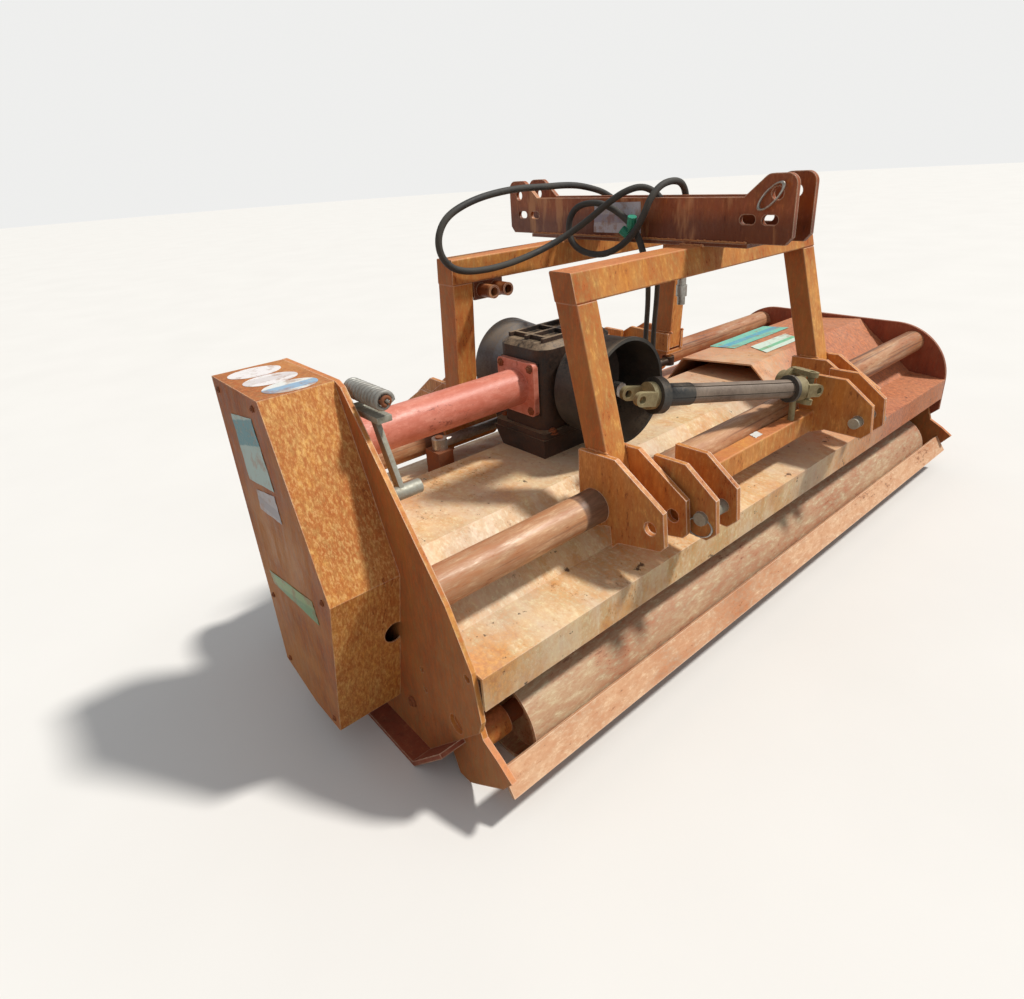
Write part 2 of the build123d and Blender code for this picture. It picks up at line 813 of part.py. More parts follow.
# Columns: name, side (-1 front, 1 rear), hand (-1 left, 1 right)
lug_table = [
    ("lugs_front_left", -1, -1),
    ("lugs_front_right", -1, 1),
    ("lugs_rear_left", 1, -1),
    ("lugs_rear_right", 1, 1),
]
for name, side, hand in lug_table:
    # Distances of the plates' near faces from the hitch's middle, then lug kind
    plates = [
        (x_post_in, "outer"),
        (portal_half, "outer"),
        (inner_link_half - link_gap / 2 - lug_t, "inner"),
        (inner_link_half + link_gap / 2, "inner"),
    ]
    with BuildPart() as lugs:
        collar_x = hitch_x + inner_lug_in if hand > 0 else hitch_x - x_outer
        with BuildSketch(side_plane(collar_x)):
            with Locations((side * bar_y, bar_z)):
                Circle(collar_r)
        extrude(amount=x_outer - inner_lug_in)
        for near, kind in plates:
            plate_x = hitch_x + near if hand > 0 else hitch_x - near - lug_t
            if kind == "outer":
                outline = lug_outline(outer_lug_points, side, 0 if side < 0 else 62)
                hole = (side * outer_lug_y, outer_lug_z)
            else:
                outline = lug_outline(inner_lug_points, side, 0)
                hole = (side * inner_lug_y, inner_lug_z)
            with BuildSketch(side_plane(plate_x)):
                Polygon(*outline, align=None)
                with Locations(hole):
                    Circle(lug_hole_r, mode=Mode.SUBTRACT)
            extrude(amount=lug_t)
        with BuildSketch(side_plane(hitch_x - x_outer - 5)):
            with Locations((side * bar_y, bar_z)):
                Circle(bar_r + collar_gap)
        extrude(amount=2 * x_outer + 10, mode=Mode.SUBTRACT)
    write(lugs.part, name)

# Cross tubes between the inner lugs, just outside the slide bars
cross_y = bar_y + collar_r - 5
for name, side in (("cross_tube_front", -1), ("cross_tube_rear", 1)):
    with BuildPart() as cross_tube:
        with BuildSketch(side_plane(hitch_x - inner_lug_in)):
            with Locations((side * (cross_y + cross_tube_depth / 2), cross_tube_z + cross_tube_h / 2)):
                Rectangle(cross_tube_depth, cross_tube_h)
        extrude(amount=2 * inner_lug_in)
        fillet(cross_tube.edges().filter_by(Axis.X), radius=4.0)
    write(cross_tube.part, name)

# Hitch pins: one in the front right clevis, one hanging in the front left one.
# Columns: x of the inner end, length, side of the head
with BuildPart() as link_pins:
    for start_x, length in (
        (hitch_x + inner_lug_in - 26, 138.0),
        (hitch_x - inner_link_half - link_gap / 2 - lug_t - 8, 108.0),
    ):
        with BuildSketch(side_plane(start_x)):
            with Locations((-inner_lug_y, inner_lug_z)):
                Circle(pin_r)
        extrude(amount=length)
write(link_pins.part, "link_pins")

# Side-shift cylinder: its barrel rides on the hitch, its rod is pinned to the deck
with BuildPart() as cylinder_barrel:
    with BuildSketch(side_plane(barrel_x0)):
        with Locations((cyl_y, cyl_z)):
            Circle(cyl_r)
    extrude(amount=barrel_x1 - barrel_x0)
    with BuildSketch(side_plane(barrel_x0)):
        with Locations((cyl_y, cyl_z)):
            Circle(cyl_r + 3)
    extrude(amount=36.0)
    with BuildSketch(side_plane(barrel_x0 + 30)):
        with Locations((cyl_y, cyl_z)):
            Circle(cyl_bore_r)
    extrude(amount=barrel_x1 - barrel_x0 - 42, mode=Mode.SUBTRACT)
    with BuildSketch(side_plane(barrel_x0)):
        with Locations((cyl_y, cyl_z)):
            Circle(rod_r + running_gap)
    extrude(amount=30.0, mode=Mode.SUBTRACT)
    with BuildSketch(side_plane(barrel_x1)):
        with Locations((cyl_y, cyl_z)):
            Circle(rod_r)
    extrude(amount=base_eye_x - barrel_x1)
    with BuildSketch(Plane.XY.offset(cyl_z - rod_r - 0.7)):
        with Locations((base_eye_x, cyl_y)):
            Circle(eye_r)
    extrude(amount=2 * rod_r + 1.4)
    with BuildSketch(Plane.XY.offset(cyl_z - rod_r - 1)):
        with Locations((base_eye_x, cyl_y)):
            Circle(eye_pin_r + running_gap)
    extrude(amount=2 * rod_r + 2, mode=Mode.SUBTRACT)
    for block_x in (barrel_x0 + 44, port_x[1]):
        with BuildSketch(side_plane(block_x - 11)):
            with Locations((cyl_y - cyl_r - 5, cyl_z)):
                Rectangle(22.0, 20.0)
        extrude(amount=22.0)
    with BuildSketch(side_plane(barrel_x0 + 44)):
        with Locations((cyl_y - cyl_r - 8, cyl_z)):
            Circle(6.0)
    extrude(amount=port_x[1] - barrel_x0 - 44)
write(cylinder_barrel.part, "cylinder_barrel")

with BuildPart() as cylinder_rod:
    with BuildSketch(side_plane(rod_eye_x)):
        with Locations((cyl_y, cyl_z)):
            Circle(rod_r)
    extrude(amount=rod_end_x - rod_eye_x)
    with BuildSketch(Plane.XY.offset(cyl_z - rod_r - 0.7)):
        with Locations((rod_eye_x, cyl_y)):
            Circle(eye_r)
    extrude(amount=2 * rod_r + 1.4)
    with BuildSketch(Plane.XY.offset(cyl_z - rod_r - 1)):
        with Locations((rod_eye_x, cyl_y)):
            Circle(eye_pin_r + running_gap)
    extrude(amount=2 * rod_r + 2, mode=Mode.SUBTRACT)
write(cylinder_rod.part, "cylinder_rod")

# Rod anchor: a block on the deck with an upright pin
anchor_top_z = cyl_z - rod_r - 1
with BuildPart() as cylinder_anchor:
    with BuildSketch(side_plane(rod_eye_x - 26)):
        Polygon(
            (cyl_y - 30, deck_top(cyl_y - 30)),
            (cyl_y - 30, anchor_top_z),
            (cyl_y + 30, anchor_top_z),
            (cyl_y + 30, deck_top(cyl_y + 30)),
            deck_points[5],
            align=None,
        )
    extrude(amount=45.0)
    with BuildSketch(Plane.XY.offset(anchor_top_z)):
        with Locations((rod_eye_x, cyl_y)):
            Circle(eye_pin_r)
    extrude(amount=2 * rod_r + 6)
write(cylinder_anchor.part, "cylinder_anchor")

# Barrel bracket: a plate under the rear right lugs with a hanging pin
base_plate_z = outer_lug_points[0][1] - 60
with BuildPart() as barrel_bracket:
    with BuildSketch(Plane.XY.offset(base_plate_z - 12)):
        with Locations((hitch_x + outer_link_half, cyl_y + 8)):
            Rectangle(link_gap + 2 * lug_t, 52.0)
    extrude(amount=12.0)
    with BuildSketch(Plane.XY.offset(cyl_z - rod_r - 3)):
        with Locations((base_eye_x, cyl_y)):
            Circle(eye_pin_r)
    extrude(amount=base_plate_z - 12 - cyl_z + rod_r + 3)
write(barrel_bracket.part, "barrel_bracket")

# Parking bracket: two short tubes for the hose couplers, under the rear beam
park_z = 823.0
park_x = hitch_x - portal_half + tube + 49.0
park_y = outer_face(1, portal_low_z) - tube + 10
with BuildPart() as parking_bracket:
    with BuildSketch(face_plane(park_y)):
        with Locations((park_x, (portal_low_z + park_z - 22) / 2)):
            Rectangle(90.0, portal_low_z - park_z + 22)
    extrude(amount=6.0)
    with BuildSketch(face_plane(park_y - 6)):
        with Locations((park_x - 22, park_z), (park_x + 22, park_z)):
            Circle(16.0)
            Circle(11.0, mode=Mode.SUBTRACT)
    extrude(amount=50.0)
write(parking_bracket.part, "parking_bracket")

# Loose drive shaft half, lying across the hitch
shaft_in = (x_left + 586.0, -238.0, 618.0)
shaft_out = (x_left + 1138.0, -368.0, 521.0)
half_shaft = axis_plane(shaft_in, shaft_out)
half_shaft_l = (Vector(*shaft_out) - Vector(*shaft_in)).length
yoke_l = 62.0
with BuildPart() as pto_tube:
    with BuildSketch(half_shaft.offset(yoke_l)):
        Circle(24.0)
        Circle(19.0, mode=Mode.SUBTRACT)
    extrude(amount=half_shaft_l - 2 * yoke_l)
write(pto_tube.part, "pto_tube")

with BuildPart() as pto_rings:
    for start, ring_l, ring_r in (
        (yoke_l, 22.0, 42.0),
        (half_shaft_l - yoke_l - 10, 10.0, 35.0),
    ):
        with BuildSketch(half_shaft.offset(start)):
            Circle(ring_r)
            Circle(24.0, mode=Mode.SUBTRACT)
        extrude(amount=ring_l)
write(pto_rings.part, "pto_rings")

# Yokes. The outer one ends in a cross with a second yoke folded back on it.
arm_half, arm_t = 16.0, 13.0
eye_r = 9.0
for name, start, outwards, arm_out, pivot_l in (
    ("pto_yoke_inner", yoke_l, -1, 32.0, 52.0),
    ("pto_yoke_outer", half_shaft_l - yoke_l, 1, 32.0, 70.0),
):
    pivot = half_shaft.offset(start + outwards * pivot_l)
    with BuildPart() as yoke:
        with BuildSketch(half_shaft.offset(start)):
            Circle(31.0)
        extrude(amount=outwards * (pivot_l - 36))
        for arm_x in (-arm_out, arm_out - arm_t):
            arm = Plane(origin=pivot.origin + pivot.x_dir * arm_x, x_dir=pivot.z_dir, z_dir=pivot.x_dir)
            with BuildSketch(arm):
                with Locations((-outwards * 20.0, 0)):
                    Rectangle(40.0, 2 * arm_half)
                Circle(arm_half)
                Circle(eye_r, mode=Mode.SUBTRACT)
            extrude(amount=arm_t)
        if outwards > 0:
            for across, reach in ((pivot.x_dir, arm_out - 7), (pivot.y_dir, 35.0)):
                with BuildSketch(Plane(origin=pivot.origin - across * reach, z_dir=across)):
                    Circle(eye_r)
                extrude(amount=2 * reach)
            for arm_z in (-43.0, 30.0):
                arm = Plane(origin=pivot.origin + pivot.y_dir * arm_z, x_dir=pivot.x_dir, z_dir=pivot.y_dir)
                with BuildSketch(arm):
                    with Locations((28.0, 0)):
                        Rectangle(56.0, 2 * arm_half)
                    Circle(arm_half)
                    Circle(eye_r, mode=Mode.SUBTRACT)
                extrude(amount=arm_t)
            folded = Plane(origin=pivot.origin + pivot.x_dir * 46, z_dir=pivot.x_dir)
            with BuildSketch(folded):
                Circle(44.0)
            extrude(amount=12.0)
            with BuildSketch(folded):
                Circle(28.0)
            extrude(amount=42.0)
            with BuildSketch(folded):
                Circle(shaft_r)
            extrude(amount=42.0, mode=Mode.SUBTRACT)
            rest = half_shaft.offset(start + 15.0).origin
            cross_top = cross_tube_z + cross_tube_h
            with BuildSketch(Plane.XY.offset(cross_top)):
                with Locations((rest.X, rest.Y)):
                    Circle(8.0)
            extrude(amount=rest.Z - cross_top - 20)
    write(yoke.part, name)

# Hoses: two hydraulic hoses from the barrel's ports, over the top beam
def arc_radii(points):
    """Radius of the tangent arc at each inner point of a route."""
    radii = []
    for before, here, after in zip(points, points[1:], points[2:]):
        run_in = Vector(*here) - Vector(*before)
        run_out = Vector(*after) - Vector(*here)
        half_turn = math.radians(run_in.get_angle(run_out) / 2)
        radii.append(0.45 * min(run_in.length, run_out.length) / math.tan(half_turn))
    return radii


fitting_top_z = 500.0
hose_routes = {
    "hose_front": [
        (port_x[0], cyl_y, fitting_top_z),
        (port_x[0], cyl_y, 566.0),
        (237.0, 188.0, 680.0),
        (185.0, 145.0, 780.0),
        (90.0, 75.0, 838.0),
        (0.0, 15.0, 840.0),
        (-70.0, -32.0, 827.0),
        (-118.0, -58.0, 828.0),
        (-150.0, -74.0, 850.0),
        (-164.0, -76.0, 884.0),
        (-165.0, -64.0, 916.0),
        (-161.0, -38.0, 946.0),
        (-160.0, -4.0, 970.0),
        (-165.0, 30.0, 989.0),
        (-172.0, 62.0, 999.0),
        (-180.0, 96.0, 998.0),
        (-187.0, 125.0, 988.0),
        (-191.0, 144.0, 963.0),
        (-192.0, 148.0, 931.0),
        (-193.0, 135.0, 902.0),
        (-192.0, 105.0, 883.0),
        (-190.0, 56.0, 875.0),
        (-189.0, 12.0, 882.0),
        (-187.0, -32.0, 904.0),
        (-184.0, -67.0, 936.0),
        (-180.0, -88.0, 973.0),
        (-167.0, -96.0, 1009.0),
        (-138.0, -101.0, 1035.0),
        (-96.0, -103.0, 1043.0),
        (-54.0, -101.0, 1036.0),
        (-28.0, -96.0, 1006.0),
        (-20.0, -90.0, 955.0),
        (-20.0, -88.0, 885.0),
        (-20.0, -88.0, 807.0),
    ],
    "hose_rear": [
        (port_x[1], cyl_y, fitting_top_z),
        (port_x[1], cyl_y, 566.0),
        (200.0, 192.0, 680.0),
        (160.0, 165.0, 790.0),
        (95.0, 145.0, 880.0),
        (40.0, 150.0, 960.0),
        (-20.0, 168.0, 1012.0),
        (-96.0, 180.0, 1034.0),
        (-170.0, 170.0, 1042.0),
        (-265.0, 155.0, 1043.0),
        (-360.0, 150.0, 1046.0),
        (-455.0, 150.0, 1038.0),
        (-525.0, 150.0, 1022.0),
        (-574.0, 151.0, 1000.0),
        (-598.0, 152.0, 967.0),
        (-601.0, 152.0, 931.0),
        (-585.0, 151.0, 900.0),
        (-553.0, 150.0, 880.0),
        (-500.0, 148.0, 872.0),
        (-420.0, 146.0, 874.0),
        (-330.0, 144.0, 888.0),
        (-262.0, 134.0, 908.0),
        (-216.0, 104.0, 936.0),
        (-203.0, 55.0, 968.0),
        (-190.0, 10.0, 1002.0),
        (-166.0, -20.0, 1025.0),
        (-134.0, -44.0, 1034.0),
        (-108.0, -66.0, 1018.0),
        (-97.0, -88.0, 985.0),
        (-96.0, -112.0, 953.0),
        (-96.0, -148.0, 932.0),
        (-96.0, -195.0, 930.0),
        (-96.0, -240.0, 930.0),
    ],
}
for name, route in hose_routes.items():
    radii = arc_radii(route)
    print(name, "radii", [round(radius) for radius in radii])
    with BuildPart() as hose:
        with BuildLine() as path:
            FilletPolyline(*route, radius=radii)
        with BuildSketch(axis_plane(route[0], route[1])):
            Circle(hose_d / 2)
        sweep(path=path.line)
    run_length = sum(edge.length for edge in path.line.edges())
    print(name, "length", round(run_length), "volume ratio",
          round(hose.part.volume / (math.pi * hose_d**2 / 4 * run_length), 4))
    write(hose.part, name)

# Hose fittings on the barrel's ports, and the couplers at the free ends
with BuildPart() as hose_fittings:
    for x in port_x:
        with BuildSketch(Plane.XY.offset(cyl_z)):
            with Locations((x, cyl_y)):
                Circle(11.0)
        extrude(amount=fitting_top_z - cyl_z)
    with BuildSketch(side_plane(port_x[1] - 20)):
        with Locations((cyl_y, cyl_z)):
            Circle(cyl_r)
    extrude(amount=80.0, mode=Mode.SUBTRACT)
write(hose_fittings.part, "hose_fittings")

# Columns: name, start, end
coupler_table = [
    ("coupler_hanging", hose_routes["hose_front"][-1], (-20.0, -88.0, 737.0)),
    ("coupler_lying", hose_routes["hose_rear"][-1], (-96.0, -310.0, 930.0)),
]
for name, start, end in coupler_table:
    coupler_plane = axis_plane(start, end)
    coupler_l = (Vector(*end) - Vector(*start)).length
    with BuildPart() as coupler:
        for radius, start_l, end_l in ((11.0, 0, 20), (14.0, 20, coupler_l - 22), (10.0, coupler_l - 22, coupler_l)):
            with BuildSketch(coupler_plane.offset(start_l)):
                Circle(radius)
            extrude(amount=end_l - start_l)
    write(coupler.part, name)
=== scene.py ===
# %% [markdown]
# # A side-shift flail mulcher, dressed on its CAD frame
# The machine is a low steel casing with a rotor and a roller, a belt cover on one end, and a
# three-point hitch that slides along two bars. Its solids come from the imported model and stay
# where they are. This lesson gives them a sun-faded, rusty finish and adds the small parts that
# make it look used: hoses, a coil spring, bolts, pins, weld beads and blank stickers.

import math

import bpy
from mathutils import Matrix, Quaternion, Vector


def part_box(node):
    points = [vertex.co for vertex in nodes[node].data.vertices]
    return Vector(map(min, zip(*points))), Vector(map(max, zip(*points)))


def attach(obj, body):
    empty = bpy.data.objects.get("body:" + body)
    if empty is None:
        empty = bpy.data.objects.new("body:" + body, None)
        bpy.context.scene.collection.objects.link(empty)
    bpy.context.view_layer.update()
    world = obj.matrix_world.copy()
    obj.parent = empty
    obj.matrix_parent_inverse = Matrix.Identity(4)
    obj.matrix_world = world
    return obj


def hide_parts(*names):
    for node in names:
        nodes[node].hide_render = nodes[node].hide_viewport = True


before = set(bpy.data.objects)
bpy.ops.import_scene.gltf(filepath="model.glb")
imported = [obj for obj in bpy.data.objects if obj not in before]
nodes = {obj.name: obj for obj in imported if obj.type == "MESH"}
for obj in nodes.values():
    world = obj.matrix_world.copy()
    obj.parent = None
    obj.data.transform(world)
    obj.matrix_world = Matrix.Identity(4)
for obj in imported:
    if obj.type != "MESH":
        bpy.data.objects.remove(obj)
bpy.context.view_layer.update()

# %% [markdown]
# ## The camera
# The picture was taken from chest height, in front of the belt end, with a wide lens. The place,
# the turn and the lens were solved from the machine's own corners, so they are plain numbers
# here. The lens pointed a little above the picture's middle, so the camera is shifted down.

# %% Camera
eye = Vector((-1.4665, -1.1193, 1.1038))
turn_vector = Vector((1.864843, -0.734760, 0.400856))
picture_width, middle_row = 1024, 499.5
lens_pixels, lens_row = 654.99, 448.53
turn = Quaternion(turn_vector.normalized(), turn_vector.length).to_matrix()
camera_data = bpy.data.cameras.new("camera")
camera_data.sensor_fit = "HORIZONTAL"
camera_data.sensor_width = 36.0
camera_data.lens = lens_pixels * camera_data.sensor_width / picture_width
camera_data.shift_y = (lens_row - middle_row) / picture_width
camera = bpy.data.objects.new("camera", camera_data)
bpy.context.scene.collection.objects.link(camera)
axes = Matrix((turn[0], -turn[1], -turn[2])).transposed()
camera.matrix_world = Matrix.Translation(eye) @ axes.to_4x4()
bpy.context.scene.camera = camera
print("lens", round(camera_data.lens, 2), "mm at height", eye.z, "m")

# %% [markdown]
# ## The hydraulic hoses
# Two stiff rubber hoses leave the side-shift cylinder, cross the top beam in a wide and a tight
# loop, and end in quick couplers. A hose is one smooth line, so each is a NURBS curve with a
# round bevel. The control points are the CAD route's own points, in metres.

# %% Hoses
hose_radius = 0.008
hose_front_points = [
    (0.247, 0.205, 0.500), (0.247, 0.205, 0.566), (0.237, 0.188, 0.680), (0.185, 0.145, 0.780),
    (0.090, 0.075, 0.838), (0.000, 0.015, 0.840), (-0.070, -0.032, 0.827), (-0.118, -0.058, 0.828),
    (-0.150, -0.074, 0.850), (-0.164, -0.076, 0.884), (-0.165, -0.064, 0.916),
    (-0.161, -0.038, 0.946), (-0.160, -0.004, 0.970), (-0.165, 0.030, 0.989),
    (-0.172, 0.062, 0.999), (-0.180, 0.096, 0.998), (-0.187, 0.125, 0.988), (-0.191, 0.144, 0.963),
    (-0.192, 0.148, 0.931), (-0.193, 0.135, 0.902), (-0.192, 0.105, 0.883), (-0.190, 0.056, 0.875),
    (-0.189, 0.012, 0.882), (-0.187, -0.032, 0.904), (-0.184, -0.067, 0.936),
    (-0.180, -0.088, 0.973), (-0.167, -0.096, 1.009), (-0.138, -0.101, 1.035),
    (-0.096, -0.103, 1.043), (-0.054, -0.101, 1.036), (-0.028, -0.096, 1.006),
    (-0.020, -0.090, 0.955), (-0.020, -0.088, 0.885), (-0.020, -0.088, 0.807),
]
hose_rear_points = [
    (0.207, 0.205, 0.500), (0.207, 0.205, 0.566), (0.200, 0.192, 0.680), (0.160, 0.165, 0.790),
    (0.095, 0.145, 0.880), (0.040, 0.150, 0.960), (-0.020, 0.168, 1.012), (-0.096, 0.180, 1.034),
    (-0.170, 0.170, 1.042), (-0.265, 0.155, 1.043), (-0.360, 0.150, 1.046), (-0.455, 0.150, 1.038),
    (-0.525, 0.150, 1.022), (-0.574, 0.151, 1.000), (-0.598, 0.152, 0.967), (-0.601, 0.152, 0.931),
    (-0.585, 0.151, 0.900), (-0.553, 0.150, 0.880), (-0.500, 0.148, 0.872), (-0.420, 0.146, 0.874),
    (-0.330, 0.144, 0.888), (-0.262, 0.134, 0.908), (-0.216, 0.104, 0.936), (-0.203, 0.055, 0.968),
    (-0.190, 0.010, 1.002), (-0.166, -0.020, 1.025), (-0.134, -0.044, 1.034),
    (-0.108, -0.066, 1.018), (-0.097, -0.088, 0.985), (-0.096, -0.112, 0.953),
    (-0.096, -0.148, 0.932), (-0.096, -0.195, 0.930), (-0.096, -0.240, 0.930),
]


def round_line(name, kind, points, radius, facets, capped=False):
    """A curve with a round section, drawn by its points."""
    curve = bpy.data.curves.new(name, "CURVE")
    curve.dimensions = "3D"
    curve.bevel_depth = radius
    curve.bevel_resolution = facets
    curve.use_fill_caps = capped
    curve.resolution_u = 8
    spline = curve.splines.new(kind)
    spline.points.add(len(points) - 1)
    for point, place in zip(spline.points, points):
        point.co = (*place, 1.0)
    line = bpy.data.objects.new(name, curve)
    bpy.context.scene.collection.objects.link(line)
    return line


def lay_hose(name, points, node):
    """A rubber hose that rides on the hitch in the place of a CAD node."""
    hose = round_line(name, "NURBS", points, hose_radius, 5)
    spline = hose.data.splines[0]
    spline.order_u = 3
    spline.use_endpoint_u = True
    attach(hose, "hitch")
    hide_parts(node)
    return hose


hose_front = lay_hose("hose_front_line", hose_front_points, "hose_front")
hose_rear = lay_hose("hose_rear_line", hose_rear_points, "hose_rear")
print("hose points:", len(hose_front_points), len(hose_rear_points))

# %% [markdown]
# ## A small language for finishes
# A finish is a chain of patterns: a large cloud says where the rust is, a fine one gives it
# grain, and a third draws the runs of rain. Such chains are easier to read as sums, so one class
# wraps a shader socket and lets it be added and multiplied. Another makes the nodes, and lays one
# colour over the next.

# %% Sums of sockets
class Pattern:
    """A shader value that takes part in sums like a number."""

    def __init__(self, finish, socket):
        self.finish = finish
        self.socket = socket

    def __add__(self, other):
        return self.finish.maths("ADD", self, other)

    def __rsub__(self, other):
        return self.finish.maths("SUBTRACT", other, self)

    def __mul__(self, other):
        return self.finish.maths("MULTIPLY", self, other)

    __radd__ = __add__

    def kept(self):
        """The same value held between 0 and 1."""
        return self.finish.maths("ADD", self, 0.0, clamp=True)


class Finish:
    """One material, built node by node."""

    def __init__(self, name):
        self.material = bpy.data.materials.new(name)
        self.material.use_nodes = True
        self.tree = self.material.node_tree
        self.tree.nodes.clear()
        self.place = self.node("ShaderNodeTexCoord", out="Object")

    def node(self, kind, settings=None, sockets=None, out=0):
        """A node of any type: its settings first, then its values or links."""
        made = self.tree.nodes.new(kind)
        for key, value in (settings or {}).items():
            setattr(made, key, value)
        for key, value in (sockets or {}).items():
            if isinstance(value, Pattern):
                self.tree.links.new(value.socket, made.inputs[key])
            else:
                made.inputs[key].default_value = value
        return Pattern(self, made.outputs[out]) if len(made.outputs) else None

    def maths(self, operation, first, second, clamp=False):
        """A sum or product of two values, each a number or a pattern."""
        settings = {"operation": operation, "use_clamp": clamp}
        return self.node("ShaderNodeMath", settings, {0: first, 1: second})

    def noise(self, scale, detail=5.0, roughness=0.55, stretch=(1.0, 1.0, 1.0), shift=0.0):
        """A cloud of the given scale per metre, stretched along the axes."""
        sockets = {"Vector": self.place, "Scale": stretch, "Location": (shift, shift, shift)}
        place = self.node("ShaderNodeMapping", {}, sockets)
        sockets = {"Vector": place, "Scale": scale, "Detail": detail, "Roughness": roughness}
        return self.node("ShaderNodeTexNoise", {}, sockets)

    def mix(self, factor, first, second):
        """A colour between two colours, each a tuple or a pattern."""
        first, second = (c if isinstance(c, Pattern) else (*c, 1.0) for c in (first, second))
        sockets = {0: factor, 6: first, 7: second}
        return self.node("ShaderNodeMix", {"data_type": "RGBA"}, sockets, 2)

    def over(self, factor, colour):
        """Lays a colour over the finish's own."""
        self.colour = self.mix(factor, self.colour, colour)

    def speckled(self, width, first, second):
        """Two colours in fine specks, softer where the width is larger."""
        return self.mix(self.band(self.speck, 0.5, width), first, second)

    def along(self, axis):
        """How far a point lies along one of the object's axes."""
        return self.node("ShaderNodeSeparateXYZ", {}, {0: self.place}, axis)

    def facing(self, axis):
        """How much a face looks along an axis, from -1 to 1."""
        normal = self.node("ShaderNodeNewGeometry", out="Normal")
        return self.node("ShaderNodeSeparateXYZ", {}, {0: normal}, axis)

    def edges(self, radius):
        """1 along sharp edges and 0 on the flats."""
        rounded = self.node("ShaderNodeBevel", {"samples": 4}, {"Radius": radius})
        normal = self.node("ShaderNodeNewGeometry", out="Normal")
        settings = {"operation": "DOT_PRODUCT"}
        agreement = self.node("ShaderNodeVectorMath", settings, {0: rounded, 1: normal}, "Value")
        return ((1 - agreement) * 6).kept()

    def band(self, pattern, middle, width):
        """A soft step of the pattern about a middle value."""
        return (pattern * (1 / width) + (0.5 - middle / width)).kept()

    def close(self, colour, roughness, metallic=0.0, height=None, depth=0.001):
        """The surface itself, with a bump of the depth in metres, joined to the output."""
        sockets = {"Base Color": colour, "Roughness": roughness, "Metallic": metallic}
        if height is not None:
            bump = {"Height": height, "Distance": depth, "Strength": 1.0}
            sockets["Normal"] = self.node("ShaderNodeBump", {}, bump)
        surface = self.node("ShaderNodeBsdfPrincipled", {}, sockets)
        self.node("ShaderNodeOutputMaterial", {}, {"Surface": surface})
        return self.material

    def seal(self, depth=0.0007):
        """Closes a weathered finish as it stands."""
        return self.close(self.colour, self.roughness, 0.0, self.height, depth)

# %% [markdown]
# ## Weathered paint
# The paint has stood outside for years. On the real machine it is faded where the sun hits it,
# freckled with rust all over and streaked where rain ran down, and a pale colour is painted along
# the edges as a highlight.
# One recipe makes every painted finish from those four patterns. Only the colours and the amount
# of rust change from part to part.

# %% Weathered finishes
def tone(red, green, blue):
    """A colour from 0-255 screen values, as the shader wants it."""
    values = (red / 255, green / 255, blue / 255)
    return tuple(v / 12.92 if v < 0.04045 else ((v + 0.055) / 1.055) ** 2.4 for v in values)


def weathered(name, sound, faded, dark_rust, light_rust, amount, gloss=0.45, shift=0.0,
              flow=(1.0, 1.0, 0.35), pale=tone(244, 214, 184), mottled=0.35, grain=58.0):
    """Old paint: a sound and a faded colour under freckles, runs, specks and a painted edge
    highlight.
    """
    finish = Finish(name)
    run_flow = tuple(value if value == 1.0 else value * 0.3 for value in flow)
    cloud = finish.noise(2.6, 6, 0.62, shift=shift)
    patch = finish.noise(13.0, 8, 0.7, stretch=flow, shift=shift + 1)
    speck = finish.noise(120.0, 4, 0.75, stretch=flow, shift=shift + 2)
    runs = finish.noise(38.0, 4, 0.65, stretch=run_flow, shift=shift + 3)
    freckles = finish.noise(grain, 6, 0.74, stretch=flow, shift=shift + 5)
    finish.speck, finish.edge = speck, finish.edges(0.0035)

    spread = cloud * 0.44 + patch * 0.34 + runs * 0.2 + speck * 0.3
    rusty = finish.band(spread, 0.78 - 0.3 * amount, 0.19)
    rust = finish.mix(finish.band(speck * 0.7 + patch * 0.3, 0.5, 0.16), dark_rust, light_rust)
    pits = finish.band(speck * 0.55 + patch * 0.45, 0.6, 0.05)
    # painted highlight: a pale colour laid in patches along the sharp edges
    painted_light_mask = (finish.edge * 1.6).kept() * finish.band(patch, 0.42, 0.2)

    finish.colour = finish.mix(finish.band(cloud * 0.4 + runs * 0.6, 0.5, 0.24), sound, faded)
    finish.over(finish.band(speck, 0.42, 0.12) * 0.28, light_rust)
    finish.over(rusty, rust)
    finish.over(finish.band(freckles, 0.51, 0.07) * mottled, light_rust)
    finish.over(pits * 0.55, tuple(value * 0.45 for value in dark_rust))
    finish.over(painted_light_mask * 0.85, pale)
    finish.roughness = gloss + rusty * 0.28 + speck * 0.14
    finish.height = speck * 0.5 + rusty * 0.35 + patch * 0.3
    return finish


lug_ochre = weathered(
    "lug_paint", tone(216, 142, 66), tone(236, 180, 108), tone(92, 46, 22), tone(180, 94, 40),
    0.36, gloss=0.38, shift=33.0, pale=tone(250, 226, 206), mottled=0.22, grain=80.0).seal()
scraper_dust = weathered(
    "scraper_paint", tone(228, 186, 146), tone(240, 208, 172), tone(132, 82, 56),
    tone(200, 132, 88), 0.3, shift=37.0, flow=(0.4, 1.0, 1.0)).seal()
plate_red = weathered(
    "plate_red", tone(176, 92, 58), tone(200, 120, 82), tone(84, 38, 26), tone(146, 70, 44),
    0.55, shift=7.0).seal()
salmon = weathered(
    "salmon_paint", tone(220, 134, 112), tone(236, 164, 144), tone(140, 62, 44),
    tone(196, 96, 70), 0.12, gloss=0.38, shift=11.0, flow=(0.5, 1.0, 1.0),
    pale=tone(236, 170, 150)).seal()
roller_skin = weathered(
    "roller_skin", tone(206, 184, 146), tone(226, 206, 168), tone(122, 76, 54),
    tone(180, 112, 78), 0.44, shift=13.0, flow=(0.3, 1.0, 1.0)).seal()
print("painted finishes:", len(bpy.data.materials))
